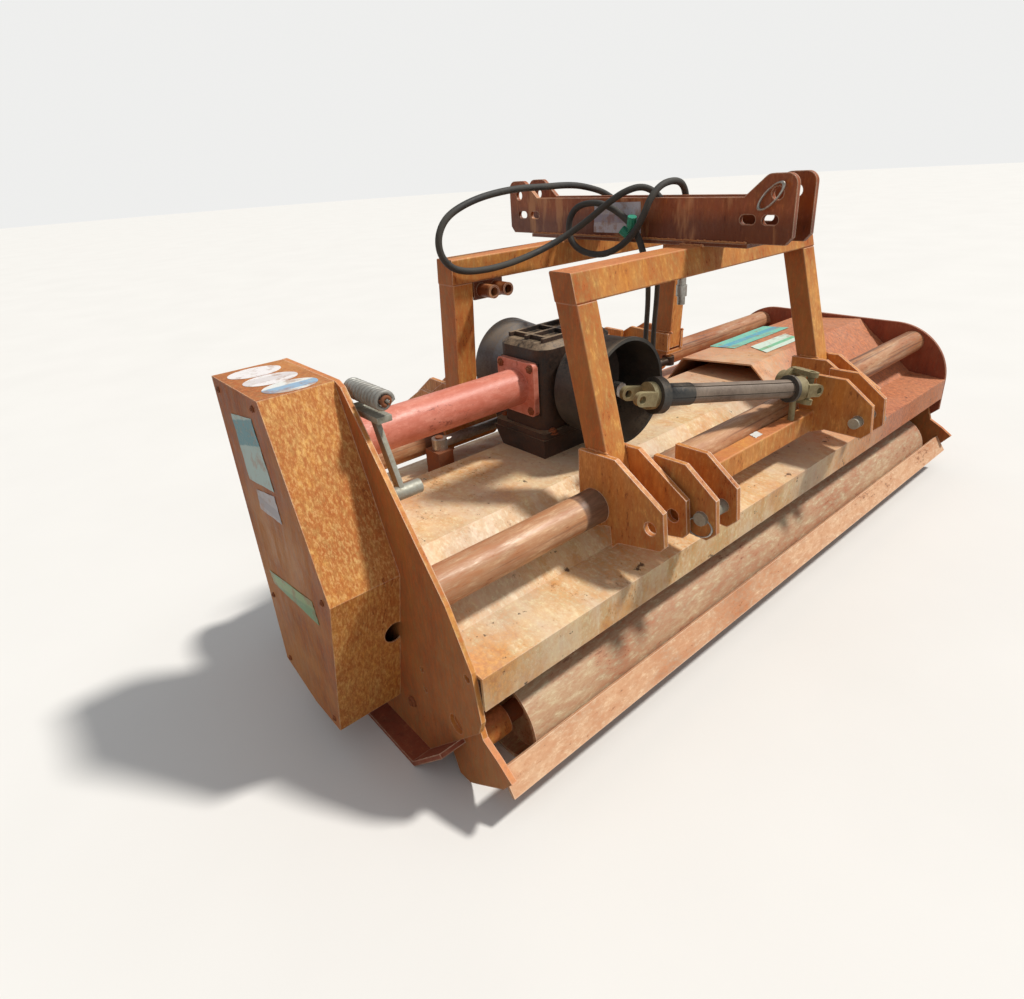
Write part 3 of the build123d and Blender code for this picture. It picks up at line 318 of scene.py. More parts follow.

# %% [markdown]
# ## The belt cover, orange in front and brown outside
# The cover's sloping front has turned a bright orange with fine upright grain. Its upper faces have
# gone to a flat red-brown, and its outer face is painted the same red-brown, partly rust and partly
# painted shade. A face's own direction tells which is which, so the finish reads the surface's
# normal and mixes the two.

# %% Cover finish
cover = weathered(
    "cover_paint", tone(228, 158, 74), tone(244, 198, 118), tone(140, 72, 26),
    tone(192, 104, 40), 0.4, shift=3.0, flow=(1.0, 1.0, 0.3), mottled=0.6, grain=120.0)
# partly rust, partly painted shade: the outer (-X) face is turned red-brown, less so along the
# edges
outer = cover.band(cover.facing("X") * -1, 0.8, 0.2) * 0.85
upper = cover.band(cover.facing("Z"), 0.9, 0.2) * 0.6
blotches = cover.band(cover.noise(4.0, 6, 0.65, shift=29.0), 0.52, 0.2) * 0.6
brown = cover.mix(blotches, cover.speckled(0.2, tone(122, 56, 28), tone(174, 92, 48)),
                  tone(206, 142, 78))
drips = cover.noise(230.0, 5, 0.74, stretch=(1.0, 1.0, 0.24), shift=53.0)
cover.over(cover.band(drips, 0.53, 0.06) * 0.34, tone(158, 82, 30))
cover.over((1 - cover.band(drips, 0.44, 0.06)) * 0.4, tone(250, 208, 138))
cover.over((outer + upper).kept() * (1 - cover.edge * 0.6), brown)
cover_ochre = cover.seal(0.0006)
print("cover finish ready")

# %% [markdown]
# ## The deck's two colours
# The deck has bleached to cream over its left half, while the raised hood and the lip on the
# right have turned to red rust. The change is along the machine, so the finish mixes two
# weathered colours by the object's own X, with a cloud in the way to keep the line ragged.

# %% Deck finish
deck = weathered(
    "deck_paint", tone(238, 218, 184), tone(246, 226, 172), tone(112, 72, 48),
    tone(220, 152, 84), 0.26, shift=17.0, flow=(1.0, 0.7, 0.7), mottled=0.2)
blooms = deck.band(deck.noise(4.2, 8, 0.72, shift=23.0), 0.56, 0.08)
grey = deck.band(deck.noise(3.0, 5, 0.6, shift=27.0), 0.55, 0.15)
right = deck.band(deck.along("X") + deck.noise(2.1, 6, 0.65, shift=21.0) * 0.7, 0.72, 0.5)
scabs = deck.band(deck.noise(26.0, 5, 0.7, shift=41.0), 0.665, 0.02)
deck.over(blooms * 0.6, deck.speckled(0.2, tone(196, 110, 44), tone(228, 168, 96)))
deck.over(grey * 0.35, tone(196, 186, 174))
deck.over(right * 0.85, deck.speckled(0.3, tone(148, 72, 42), tone(214, 128, 84)))
deck.over(scabs * 0.85, tone(54, 36, 28))
deck_cream = deck.seal()
print("deck finish ready")

# %% [markdown]
# ## Frame and top beam, browner on top and in painted shade
# The frame's tubes are golden in front and rust-brown on top, where water stands. Towards the belt
# side they are painted darker brown, partly rust and partly painted shade. The top beam's web is
# nearly black-brown along its foot and lighter above. One finish reads which way a face looks, and
# the other its height.

# %% Frame and top beam finishes
tubes = weathered(
    "ochre_paint", tone(230, 158, 72), tone(244, 194, 112), tone(110, 50, 20),
    tone(194, 100, 38), 0.42, mottled=0.22, grain=80.0)
wet = tubes.band(tubes.facing("Z"), 0.75, 0.2)
puddles = tubes.band(tubes.noise(7.0, 6, 0.65, shift=47.0), 0.42, 0.2)
# partly rust, partly painted shade: faces turned towards -X are made darker brown
shaded = tubes.band(tubes.facing("X") * -1, 0.75, 0.2)
tubes.over(wet * puddles * 0.75, tubes.speckled(0.25, tone(176, 92, 48), tone(220, 142, 90)))
tubes.over(shaded * 0.6, tubes.speckled(0.2, tone(124, 60, 32), tone(176, 98, 54)))
ochre = tubes.seal()

web = weathered(
    "beam_rust", tone(170, 84, 32), tone(214, 126, 60), tone(60, 26, 10), tone(138, 62, 22),
    0.5, gloss=0.28, shift=5.0)
foot_top, foot_fade = 0.992, 0.035
cloudy_z = web.along("Z") + web.noise(9.0, 5, 0.6, shift=49.0) * 0.05
foot = 1 - web.band(cloudy_z, foot_top, foot_fade)
peach = web.band(web.noise(11.0, 5, 0.6, stretch=(1.0, 1.0, 0.2), shift=51.0), 0.6, 0.06)
# darker towards the foot of the web
web.over(foot * (1 - web.edge * 0.5) * 0.62, tone(70, 30, 12))
web.over(peach * 0.5, tone(222, 160, 108))
beam_rust = web.seal(0.0006)
print("frame and beam finishes ready")

# %% [markdown]
# ## The slide bars, streaked and partly in painted shadow
# The hitch has slid on the two bars, so they show long dark streaks along X. Beside the left lug
# plates a dark band is painted on as the shadow that falls there.

# %% Bar finish
bars = weathered(
    "bar_tan", tone(206, 160, 118), tone(232, 194, 154), tone(104, 60, 38), tone(172, 104, 60),
    0.4, gloss=0.32, shift=9.0, flow=(0.16, 1.0, 1.0))
band_start, band_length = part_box("lugs_front_left")[0].x - 0.062, 0.3
bar_x = bars.along("X")
# painted shadow: a dark band with a sharp start beside the left lug plates, fading out 0.3 m
# further along X
painted_light_mask = bars.band(bar_x, band_start, 0.006)
past_painted_shadow = bars.band(bar_x, band_start + band_length, 0.1)
streak = bars.band(bars.noise(20.0, 5, 0.6, stretch=(0.02, 1.0, 1.0), shift=43.0), 0.565, 0.05)
bars.over(streak * 0.8, tone(98, 58, 38))
bars.over(painted_light_mask * (1 - past_painted_shadow) * 0.8,
          bars.speckled(0.2, tone(72, 52, 44), tone(120, 92, 76)))
bar_tan = bars.seal(0.0006)
print("bar band starts at x", round(band_start, 3))

# %% [markdown]
# ## Bare metal, castings, rubber and plastic
# The rest is unpainted: polished rod and shaft, galvanised lever, dark casting, bleached plastic
# guards and rubber. Each has its own grain, and dust that lies in a cloud over it.

# %% Bare finishes
def bare(name, clean, soiled, metallic, gloss, soil=0.5, grain=160.0, depth=0.0004, shift=0.0,
         dust=0.0):
    """A plain material under a film of dirt, with a fine grain and dust on what faces up."""
    finish = Finish(name)
    cloud = finish.noise(9.0, 6, 0.62, shift=shift)
    fine = finish.noise(grain, 4, 0.6, shift=shift)
    dirt = finish.band(cloud * 0.7 + fine * 0.3, 0.68 - 0.36 * soil, 0.3)
    settled = finish.band(cloud * 0.6 + fine * 0.4, 0.47, 0.16)
    level = finish.band(finish.facing("Z"), 0.55, 0.35)
    highlight_colour = tuple(min(1.0, value * 1.5 + 0.03) for value in clean)
    finish.colour = finish.mix(dirt, clean, soiled)
    # painted highlight: a lighter colour along the edges
    finish.over(finish.edges(0.002) * 0.5, highlight_colour)
    finish.over(level * settled * dust, tone(158, 136, 108))
    roughness = gloss + dirt * 0.3 + fine * 0.08
    return finish.close(finish.colour, roughness, metallic, fine, depth)


black_iron = bare("black_iron", tone(32, 28, 26), tone(92, 66, 50), 0.0, 0.46, 0.4,
                  grain=120.0, depth=0.0012, dust=0.75)
black_plastic = bare("black_plastic", tone(40, 42, 42), tone(92, 88, 80), 0.0, 0.42, 0.4,
                     shift=2.0, dust=0.35)
grey_plastic = bare("grey_plastic", tone(112, 116, 122), tone(72, 72, 74), 0.0, 0.5, 0.45,
                    shift=4.0, dust=0.5)
pto_plastic = bare("shaft_tube", tone(148, 132, 116), tone(104, 88, 76), 0.0, 0.36, shift=6.0)
olive_iron = bare("olive_iron", tone(170, 160, 120), tone(112, 92, 62), 0.0, 0.5, 0.45,
                  shift=8.0)
galvanised = bare("galvanised", tone(178, 180, 170), tone(146, 138, 118), 0.55, 0.42,
                  shift=10.0)
spring_steel = bare("spring_steel", tone(168, 168, 162), tone(116, 104, 92), 0.4, 0.42, 0.4,
                    shift=12.0)
polished = bare("polished_steel", tone(196, 194, 190), tone(140, 122, 104), 0.85, 0.24, 0.35,
                shift=14.0)
chrome = bare("chrome_steel", tone(186, 184, 178), tone(128, 116, 100), 0.8, 0.3, 0.45,
              shift=16.0)
rusty_steel = bare("rusty_steel", tone(116, 72, 48), tone(160, 92, 52), 0.1, 0.66,
                   grain=140.0, depth=0.0010)
rubber = bare("rubber", tone(42, 42, 42), tone(84, 80, 72), 0.0, 0.55, 0.4, shift=18.0)
print("all finishes:", len(bpy.data.materials))

# %% [markdown]
# ## Which part wears which finish
# A CAD node keeps its mesh, and only its material slots change. The table goes from finish to
# nodes, so each line reads as one tin of paint and what was painted with it.

# %% Dress the CAD nodes
worn_by = {
    ochre: ["side_plate_left", "post_front_left", "post_front_right", "post_rear_left",
            "post_rear_right", "beam_front", "beam_rear", "cross_tube_front", "cross_tube_rear",
            "barrel_bracket", "roller_bracket_left", "roller_bracket_right", "curtain_clamp"],
    lug_ochre: ["lugs_front_left", "lugs_front_right", "lugs_rear_left", "lugs_rear_right"],
    scraper_dust: ["scraper"],
    cover_ochre: ["belt_cover"],
    beam_rust: ["top_beam", "parking_bracket"],
    plate_red: ["side_plate_right", "skid_left", "skid_right"],
    bar_tan: ["slide_bar_front", "slide_bar_rear"],
    salmon: ["drive_tube"],
    roller_skin: ["roller_tube"],
    deck_cream: ["casing_shell", "raised_hood"],
    black_iron: ["gearbox", "gearbox_seat", "cylinder_barrel"],
    black_plastic: ["shaft_guard_front", "pto_rings"],
    grey_plastic: ["shaft_guard_rear"],
    pto_plastic: ["pto_tube"],
    olive_iron: ["pto_yoke_inner", "pto_yoke_outer"],
    galvanised: ["tensioner_lever", "link_pins"],
    spring_steel: ["tensioner_spring"],
    polished: ["cylinder_rod", "input_shaft"],
    chrome: ["hose_fittings", "coupler_hanging", "coupler_lying"],
    rusty_steel: ["rotor_drum", "rotor_flails", "rotor_bearing", "roller_pins", "cylinder_anchor"],
    rubber: ["intake_curtain"],
}
dressed = set()
for finish_material, names in worn_by.items():
    for name in names:
        for slot in nodes[name].material_slots:
            slot.material = finish_material
        dressed.add(name)
for hose in (hose_front, hose_rear):
    hose.data.materials.append(rubber)
print("dressed", len(dressed), "nodes; left:", sorted(set(nodes) - dressed))

# %% [markdown]
# ## How the small parts are made
# A bolt, a weld or a sticker is modelled once, at the size of one, and copied to its places. Each
# copy gets a mesh of its own, turned so that its Z points out of the surface it sits on. Copies
# on the same body are joined, because nobody ever moves one bolt of a row.

# %% Helpers for small parts
def clear():
    """Nothing is selected."""
    bpy.ops.object.select_all(action="DESELECT")


def pick(*pieces):
    """Only these pieces are selected, and the first is active."""
    clear()
    for piece in pieces:
        piece.select_set(True)
    bpy.context.view_layer.objects.active = pieces[0]


def joined(*pieces):
    """One object from these pieces."""
    pick(*pieces)
    if len(pieces) > 1:
        bpy.ops.object.join()
    return bpy.context.view_layer.objects.active


def settle(piece, name, body, finish, angle=35):
    """The finished piece at the origin, shaded, riding on its body in its finish."""
    pick(piece)
    bpy.ops.object.transform_apply(location=True, rotation=True, scale=True)
    bpy.ops.object.shade_smooth_by_angle(angle=math.radians(angle))
    piece.name = name
    piece.data.materials.clear()
    piece.data.materials.append(finish)
    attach(piece, body)
    return piece


def choose_faces(piece, test):
    """Edit mode with only the faces chosen that pass the test."""
    pick(piece)
    bpy.ops.object.mode_set(mode="EDIT")
    bpy.ops.mesh.select_mode(type="FACE")
    bpy.ops.mesh.select_all(action="DESELECT")
    bpy.ops.object.mode_set(mode="OBJECT")
    for face in piece.data.polygons:
        face.select = test(face)
    bpy.ops.object.mode_set(mode="EDIT")


def pull_faces(piece, test, way, inset=0.0):
    """Insets the chosen faces if asked to, and pulls them along the way."""
    choose_faces(piece, test)
    if inset:
        bpy.ops.mesh.inset(thickness=inset)
    bpy.ops.mesh.extrude_region_move(TRANSFORM_OT_translate={"value": way})
    bpy.ops.object.mode_set(mode="OBJECT")


def swell_faces(piece, test, height):
    """Raises the chosen faces along their normals, or sinks them."""
    choose_faces(piece, test)
    bpy.ops.mesh.extrude_region_shrink_fatten(TRANSFORM_OT_shrink_fatten={"value": height})
    bpy.ops.object.mode_set(mode="OBJECT")


def bevelled(piece, width, segments=2):
    """Rounds a piece's sharp edges for good."""
    pick(piece)
    modifier = piece.modifiers.new("round", "BEVEL")
    modifier.width = width
    modifier.segments = segments
    bpy.ops.object.modifier_apply(modifier=modifier.name)


def as_mesh(line):
    """A curve turned into the mesh that it shows."""
    pick(line)
    bpy.ops.object.convert(target="MESH")
    return bpy.context.active_object


def placing(centre, outwards):
    """The matrix that carries a model to a place, with its Z turned outwards."""
    turned = Vector(outwards).to_track_quat("Z", "Y").to_matrix().to_4x4()
    return Matrix.Translation(centre) @ turned


def place_copies(model, rows):
    """Copies of a model at (centre, outward direction, size), joined into one object."""
    made = []
    for index, (centre, outwards, size) in enumerate(rows):
        spin = Matrix.Rotation(0.7 * index, 4, "Z")
        copy = bpy.data.objects.new(model.name + "_copy", model.data.copy())
        bpy.context.scene.collection.objects.link(copy)
        copy.data.transform(placing(centre, outwards) @ spin @ Matrix.Scale(size, 4))
        made.append(copy)
    return joined(*made)


# %% [markdown]
# ## Bolts
# A hex bolt is a washer, a six-sided head and a little thread standing out of the nut. The head
# starts as a six-sided cylinder: its top face is inset and pulled up for the thread end, and a
# bevel takes the sharpness off, as forging does.

# %% Model one bolt
clear()
bpy.ops.mesh.primitive_cylinder_add(vertices=28, radius=1.2, depth=0.22, location=(0, 0, 0.11))
washer = bpy.context.active_object
bpy.ops.mesh.primitive_cylinder_add(vertices=6, radius=1.0, depth=0.7, location=(0, 0, 0.57))
head = bpy.context.active_object
pull_faces(head, lambda face: face.normal.z > 0.9, (0, 0, 0.34), inset=0.42)
bevelled(head, 0.07, 1)
bolt = joined(head, washer)
bolt.name = "bolt_model"
print("one bolt has", len(bolt.data.polygons), "faces")

# %% Bolts in their places
gear_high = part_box("gearbox")[1]
gear_middle = Vector((-0.3485, 0.0465, 0.604))
gear_foot, flange_x = 0.500, -0.4875
plate_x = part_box("side_plate_left")[0].x
bearing_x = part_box("side_plate_right")[1].x + 0.014
rotor_y, rotor_z = -0.005, 0.222
cover_low, cover_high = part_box("belt_cover")
clamp_low, clamp_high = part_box("curtain_clamp")
clamp_margin, clamp_step, clamp_z = 0.05, 0.13, 0.285


def bolt_circle(x, y, z, radius, first_angle, size):
    """Six bolts on a circle about an X axis, with their heads to +X."""
    angles = [first_angle + i * math.pi / 3 for i in range(6)]
    return [((x, y + radius * math.cos(a), z + radius * math.sin(a)), (1, 0, 0), size)
            for a in angles]


gear_bolts = [((gear_middle.x + dx, gear_middle.y + dy, gear_foot), (0, 0, 1), 0.011)
              for dx in (-0.105, 0.105) for dy in (-0.088, 0.088)]
flange_bolts = [((flange_x, gear_middle.y + dy, gear_middle.z + dz), (-1, 0, 0), 0.0105)
                for dy in (-0.052, 0.052) for dz in (-0.052, 0.052)]
cap_bolts = bolt_circle(gear_high.x, gear_middle.y, gear_middle.z, 0.050, 0.5, 0.0075)
bearing_bolts = bolt_circle(bearing_x, rotor_y, rotor_z, 0.065, math.pi / 6, 0.010)
clamp_count = int((clamp_high.x - clamp_low.x - 2 * clamp_margin) / clamp_step) + 1
clamp_bolts = [((clamp_low.x + clamp_margin + i * clamp_step, clamp_high.y, clamp_z),
                (0, 1, 0), 0.008) for i in range(clamp_count)]
cover_screws = [((cover_low.x, y, z), (-1, 0, 0), 0.0065)
                for y, z in ((-0.038, 0.751), (0.135, 0.748), (-0.172, 0.425), (0.105, 0.30),
                             (-0.105, 0.11), (0.095, 0.138))]
plate_bolt = ((plate_x, -0.175, 0.107), (-1, 0, 0), 0.013)
bolt_rows = [*gear_bolts, *flange_bolts, *cap_bolts, *bearing_bolts, *clamp_bolts,
             *cover_screws, plate_bolt]
settle(place_copies(bolt, bolt_rows), "casing_bolts", "casing", rusty_steel)
bpy.data.objects.remove(bolt)
print("bolts on the casing:", len(bolt_rows))

# %% [markdown]
# ## Weld beads
# Each joint of the frame was welded by hand, and the bead shows as a row of small overlapping
# ripples. A bead is a curve whose bevel radius goes up and down from point to point, made into a
# mesh. That gives the ripple without modelling every scale.

# %% Weld beads
ripple_length = 0.0045


def bead(start, end, radius):
    """One rippled weld between two places."""
    start, end = Vector(start), Vector(end)
    count = max(4, int((end - start).length / ripple_length))
    places = []
    for index in range(count + 1):
        wander = 0.0006 * math.sin(index * 1.7) + 0.0004 * math.sin(index * 0.6)
        places.append(start.lerp(end, index / count) + Vector((wander, wander, wander)))
    line = round_line("bead", "POLY", places, radius, 1, capped=True)
    for index, point in enumerate(line.data.splines[0].points):
        point.radius = 0.78 + 0.3 * (index % 2)
    return as_mesh(line)


beam_low, beam_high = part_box("top_beam")
hitch_x = (beam_low.x + beam_high.x) / 2
web_half, web_end, web_foot = 0.045, 0.335, 0.9145
saddle_half, tube_top = 0.05, 0.9055
lug_top = 0.5545
hitch_beads = []
for web_x in (hitch_x - web_half, hitch_x + web_half):
    hitch_beads.append(bead((web_x, -web_end, web_foot), (web_x, web_end, web_foot), 0.004))
for beam in ("beam_front", "beam_rear"):
    low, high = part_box(beam)
    for edge_x in (hitch_x - saddle_half, hitch_x + saddle_half):
        hitch_beads.append(bead((edge_x, low.y + 0.004, tube_top),
                                (edge_x, high.y - 0.004, tube_top), 0.0038))
for post in ("post_front_left", "post_front_right", "post_rear_left", "post_rear_right"):
    low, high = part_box(post)
    start_y, end_y = low.y + 0.012, low.y + 0.062
    if low.y >= 0:
        start_y, end_y = high.y - 0.072, high.y - 0.014
    for face_x in (low.x, high.x):
        hitch_beads.append(bead((face_x, start_y, lug_top), (face_x, end_y, lug_top), 0.004))
settle(joined(*hitch_beads), "hitch_welds", "hitch", ochre, 60)
print("weld beads on the hitch:", len(hitch_beads))

# %% [markdown]
# ## Belt tensioner: lever and coil spring
# A galvanised lever turns on a boss in the left plate, and a coil spring lies on its upper
# plate. The spring is wound from 8 mm wire, with narrow gaps between its turns and a rusty hook
# in its near end. The coil is one curve: two points by the middle, then a helix. The spring and
# the lever replace the plain solids that stand for them in the CAD model.

# %% Coil spring
spring_low, spring_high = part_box("tensioner_spring")
spring_middle = (spring_low + spring_high) / 2
near_y = spring_low.y - 0.024
wire = 0.0042
coil_r = (spring_high.z - spring_low.z) / 2 + 0.001 - wire
turns, points_per_turn = 10.5, 20
steps = int(turns * points_per_turn)
hook_r, hook_wire = 0.0075, 0.0036


def around_spring(radius, angle, y):
    """A point about the spring's axis, which lies along Y."""
    return Vector((spring_middle.x + radius * math.cos(angle), y,
                   spring_middle.z + radius * math.sin(angle)))


def wire_piece(points, radius):
    """A round wire through the points, as a mesh."""
    return as_mesh(round_line("wire", "POLY", points, radius, 3, capped=True))


coil_line = [Vector((spring_middle.x, near_y + 0.002, spring_middle.z + 0.004)),
             Vector((spring_middle.x + 0.006, near_y + 0.002, spring_middle.z - 0.004))]
for step in range(steps + 1):
    y = near_y + 0.004 + (spring_high.y - near_y - 0.008) * step / steps
    coil_line.append(around_spring(coil_r, step * math.tau / points_per_turn, y))
coil_spring = settle(wire_piece(coil_line, wire), "coil_spring", "casing",
                     spring_steel, 60)
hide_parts("tensioner_spring")
hook_line = [around_spring(hook_r, math.radians(-60 + step * 22), near_y + 0.001)
             for step in range(15)]
hook_line.append(Vector((spring_middle.x, near_y + 0.05, spring_middle.z)))
settle(wire_piece(hook_line, hook_wire), "spring_hook", "casing", rusty_steel, 60)
print("spring:", turns, "turns of", round(wire * 2000, 1), "mm wire")

# %% Tensioner lever
lever_low, lever_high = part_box("tensioner_lever")
lever_x = lever_low.x + 0.027
pivot_y, pivot_z, fork_y, fork_z = -0.181, 0.576, -0.121, 0.706
reach_y, reach_z = fork_y - pivot_y, fork_z - pivot_z
bar_thick, bar_low_half, bar_taper = 0.010, 0.0125, 0.003
plate_size = Vector((0.030, 0.078, 0.012))
clear()
bpy.ops.mesh.primitive_cylinder_add(vertices=32, radius=0.0135, depth=lever_high.x - lever_low.x,
                                    location=((lever_low.x + lever_high.x) / 2, pivot_y, pivot_z),
                                    rotation=(0, math.pi / 2, 0))
boss = bpy.context.active_object
bpy.ops.object.transform_apply(location=True, rotation=True, scale=True)
pull_faces(boss, lambda face: face.normal.x > 0.9, (-0.004, 0, 0), inset=0.004)
clear()
bpy.ops.mesh.primitive_cube_add(size=1.0)
bar = bpy.context.active_object
for vertex in bar.data.vertices:
    up = 0.5 + vertex.co.z
    half = bar_low_half - bar_taper * up
    vertex.co = (lever_x + vertex.co.x * bar_thick,
                 pivot_y + reach_y * up + vertex.co.y * 2 * half, pivot_z + reach_z * up)
clear()
bpy.ops.mesh.primitive_cube_add(size=1.0)
plate = bpy.context.active_object
for vertex in plate.data.vertices:
    vertex.co = (lever_x + vertex.co.x * plate_size.x, fork_y + vertex.co.y * plate_size.y,
                 fork_z + 0.004 + vertex.co.z * plate_size.z)
pull_faces(plate, lambda face: face.normal.y > 0.9, (0, 0.004, 0.010))
lever = joined(boss, bar, plate)
bevelled(lever, 0.0012, 2)
settle(lever, "tensioner_lever_arm", "casing", galvanised)
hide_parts("tensioner_lever")
print("lever", round(math.hypot(reach_y, reach_z) * 1000), "mm long")

# %% [markdown]
# ## Ribbed tube of the loose drive shaft
# The loose half shaft has a plastic guard tube with grooves along it, in two tones: a dark sleeve
# near the inner yoke and a brown-grey tube over the rest. The tube is a cylinder whose every
# eighth strip is sunk by a shrink, so the grooves are real and catch the light.

# %% Ribbed tube
shaft_in, shaft_out = Vector((-0.4015, -0.238, 0.618)), Vector((0.1505, -0.368, 0.521))
shaft_dir = (shaft_out - shaft_in).normalized()
yoke_length, sleeve_start = 0.062, 0.022
tube_length = (shaft_out - shaft_in).length - 2 * yoke_length
tube_strips, tube_groove = 48, 0.0028


def tube_piece(name, along, length, radius, groove, finish):
    """A grooved round tube about the shaft's axis."""
    clear()
    bpy.ops.mesh.primitive_cylinder_add(vertices=tube_strips, radius=radius, depth=length)
    tube = bpy.context.active_object

    def in_groove(face):
        turn = math.degrees(math.atan2(face.center.y, face.center.x))
        strip = round(turn / (360 / tube_strips) - 0.5)
        return abs(face.normal.z) < 0.5 and strip % 8 == 0

    swell_faces(tube, in_groove, -groove)
    tube.data.transform(placing(shaft_in + shaft_dir * (along + length / 2), shaft_dir))
    return settle(tube, name, "hitch", finish, 40)


ribbed_tube = tube_piece("ribbed_shaft_tube", yoke_length, tube_length, 0.0238, tube_groove,
                         pto_plastic)
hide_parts("pto_tube")
tube_piece("dark_shaft_sleeve", yoke_length + sleeve_start, 0.085, 0.0262, 0.0015, black_plastic)
print("tube", round(tube_length, 3), "m long, grooves", tube_groove * 1000, "mm deep")

# %% [markdown]
# ## Wire clips
# A linchpin's ring hangs at the front ear of the top beam, and smaller ones hold the lower link
# pins. A ring is a torus, squeezed to an oval and turned so that it lies against what holds it.

# %% Wire clips
def ring_at(centre, normal, long_r, short_r, wire_r, spin=0.0):
    """A wire ring, oval if the radii differ."""
    clear()
    bpy.ops.mesh.primitive_torus_add(major_radius=1.0, minor_radius=wire_r / long_r,
                                     major_segments=40, minor_segments=10)
    ring = bpy.context.active_object
    bpy.ops.object.mode_set(mode="EDIT")
    bpy.ops.mesh.select_all(action="SELECT")
    bpy.ops.transform.resize(value=(long_r, short_r, long_r))
    bpy.ops.object.mode_set(mode="OBJECT")
    ring.data.transform(placing(centre, normal) @ Matrix.Rotation(spin, 4, "Z"))
    return ring


clip_rows = [
    ((-0.1505, -0.386, 1.010), (-0.98, 0.16, 0.12), 0.035, 0.014, 0.0036, 0.77),
    ((0.3100, -0.486, 0.424), (0.96, 0.10, 0.26), 0.026, 0.019, 0.0022),
    ((-0.4850, -0.486, 0.424), (-0.96, -0.10, 0.26), 0.026, 0.019, 0.0022),
]
clips = joined(*[ring_at(*row) for row in clip_rows])
settle(clips, "wire_clips", "hitch", chrome, 60)
print("wire clips:", len(clip_rows))

# %% [markdown]
# ## Blank stickers
# The machine wore stickers: three ovals on top of the belt cover, two panels and a strip on its
# outer face, two strips on the hood, a white plate on the top beam and a scrap on a cross tube.
# They have bleached, so they are thin blank sheets in their faded colours, with scratches and a
# torn, dirty rim.

# %% Sticker finish
def sticker(name, ground, stripe, middle, width, axis="Z", slant=0.0):
    """A blank sticker: a ground colour with one soft stripe across it, scratched and stained."""
    finish = Finish(name)
    ragged = finish.noise(60.0, 4, 0.6)
    across = finish.along(axis) + finish.along("Y") * slant + ragged * 0.006
    upper = finish.band(across, middle - width / 2, 0.003)
    lower = finish.band(across, middle + width / 2, 0.003)
    scratch = finish.band(finish.noise(90.0, 6, 0.75), 0.58, 0.06)
    stain = finish.band(finish.noise(24.0, 5, 0.7, shift=4.0), 0.57, 0.1)
    finish.colour = finish.mix(upper * (1 - lower), ground, stripe)
    finish.over(scratch * 0.55, tone(196, 186, 170))
    finish.over(stain * 0.55, tone(160, 104, 62))
    return finish.close(finish.colour, 0.42 + scratch * 0.2, 0.0, ragged, 0.0002)


white_blue = sticker("sticker_white", tone(232, 232, 226), tone(150, 180, 205),
                     -0.029, 0.03, "Y")
white_teal = sticker("sticker_teal", tone(170, 196, 190), tone(34, 128, 140),
                     0.700, 0.05, "Z", 0.25)
white_grey = sticker("sticker_grey", tone(206, 204, 214), tone(176, 172, 190), 0.962, 0.02)
white_plain = sticker("sticker_plain", tone(240, 234, 232), tone(222, 214, 212),
                      0.05, 0.03, "Y")
pale_grey = sticker("sticker_low", tone(186, 178, 182), tone(160, 152, 158), 0.552, 0.02)
green_strip = sticker("sticker_green", tone(120, 160, 110), tone(150, 176, 118),
                      0.372, 0.02, "Z", 0.2)
teal_strip = sticker("sticker_hood_teal", tone(120, 200, 176), tone(86, 170, 190),
                     0.110, 0.03, "Y")
mint_strip = sticker("sticker_hood_mint", tone(214, 232, 214), tone(120, 196, 150),
                     -0.03, 0.02, "Y")
print("sticker finishes ready")

# %% Stickers in their places
sheet_thickness, sheet_lift = 0.0004, 0.0005


def sheet_between(corners, outwards):
    """A thin sheet with the given corners, with its rim lifting here and there."""
    clear()
    bpy.ops.mesh.primitive_plane_add(size=2.0)
    made = bpy.context.active_object
    bpy.ops.object.mode_set(mode="EDIT")
    bpy.ops.mesh.subdivide(number_cuts=9)
    bpy.ops.object.mode_set(mode="OBJECT")
    first, second, third, fourth = (Vector(corner) for corner in corners)
    out = Vector(outwards).normalized()
    for vertex in made.data.vertices:
        u, v = (vertex.co.x + 1) / 2, (vertex.co.y + 1) / 2
        on_rim = max(abs(vertex.co.x), abs(vertex.co.y)) > 0.95
        curl = 0.0007 * (0.5 + 0.5 * math.sin(11 * u + 17 * v)) if on_rim else 0.0
        place = first.lerp(second, u).lerp(fourth.lerp(third, u), v)
        vertex.co = place + out * (sheet_lift + curl)
    return made


def thicken(made, name, body, finish):
    """Gives a sheet its thickness, sets its faces outwards and dresses it."""
    pick(made)
    bpy.ops.object.mode_set(mode="EDIT")
    bpy.ops.mesh.select_all(action="SELECT")
    bpy.ops.mesh.normals_make_consistent(inside=False)
    bpy.ops.object.mode_set(mode="OBJECT")
    modifier = made.modifiers.new("wall", "SOLIDIFY")
    modifier.thickness = sheet_thickness
    modifier.offset = 0.0
    bpy.ops.object.modifier_apply(modifier=modifier.name)
    settle(made, name, body, finish, 30)


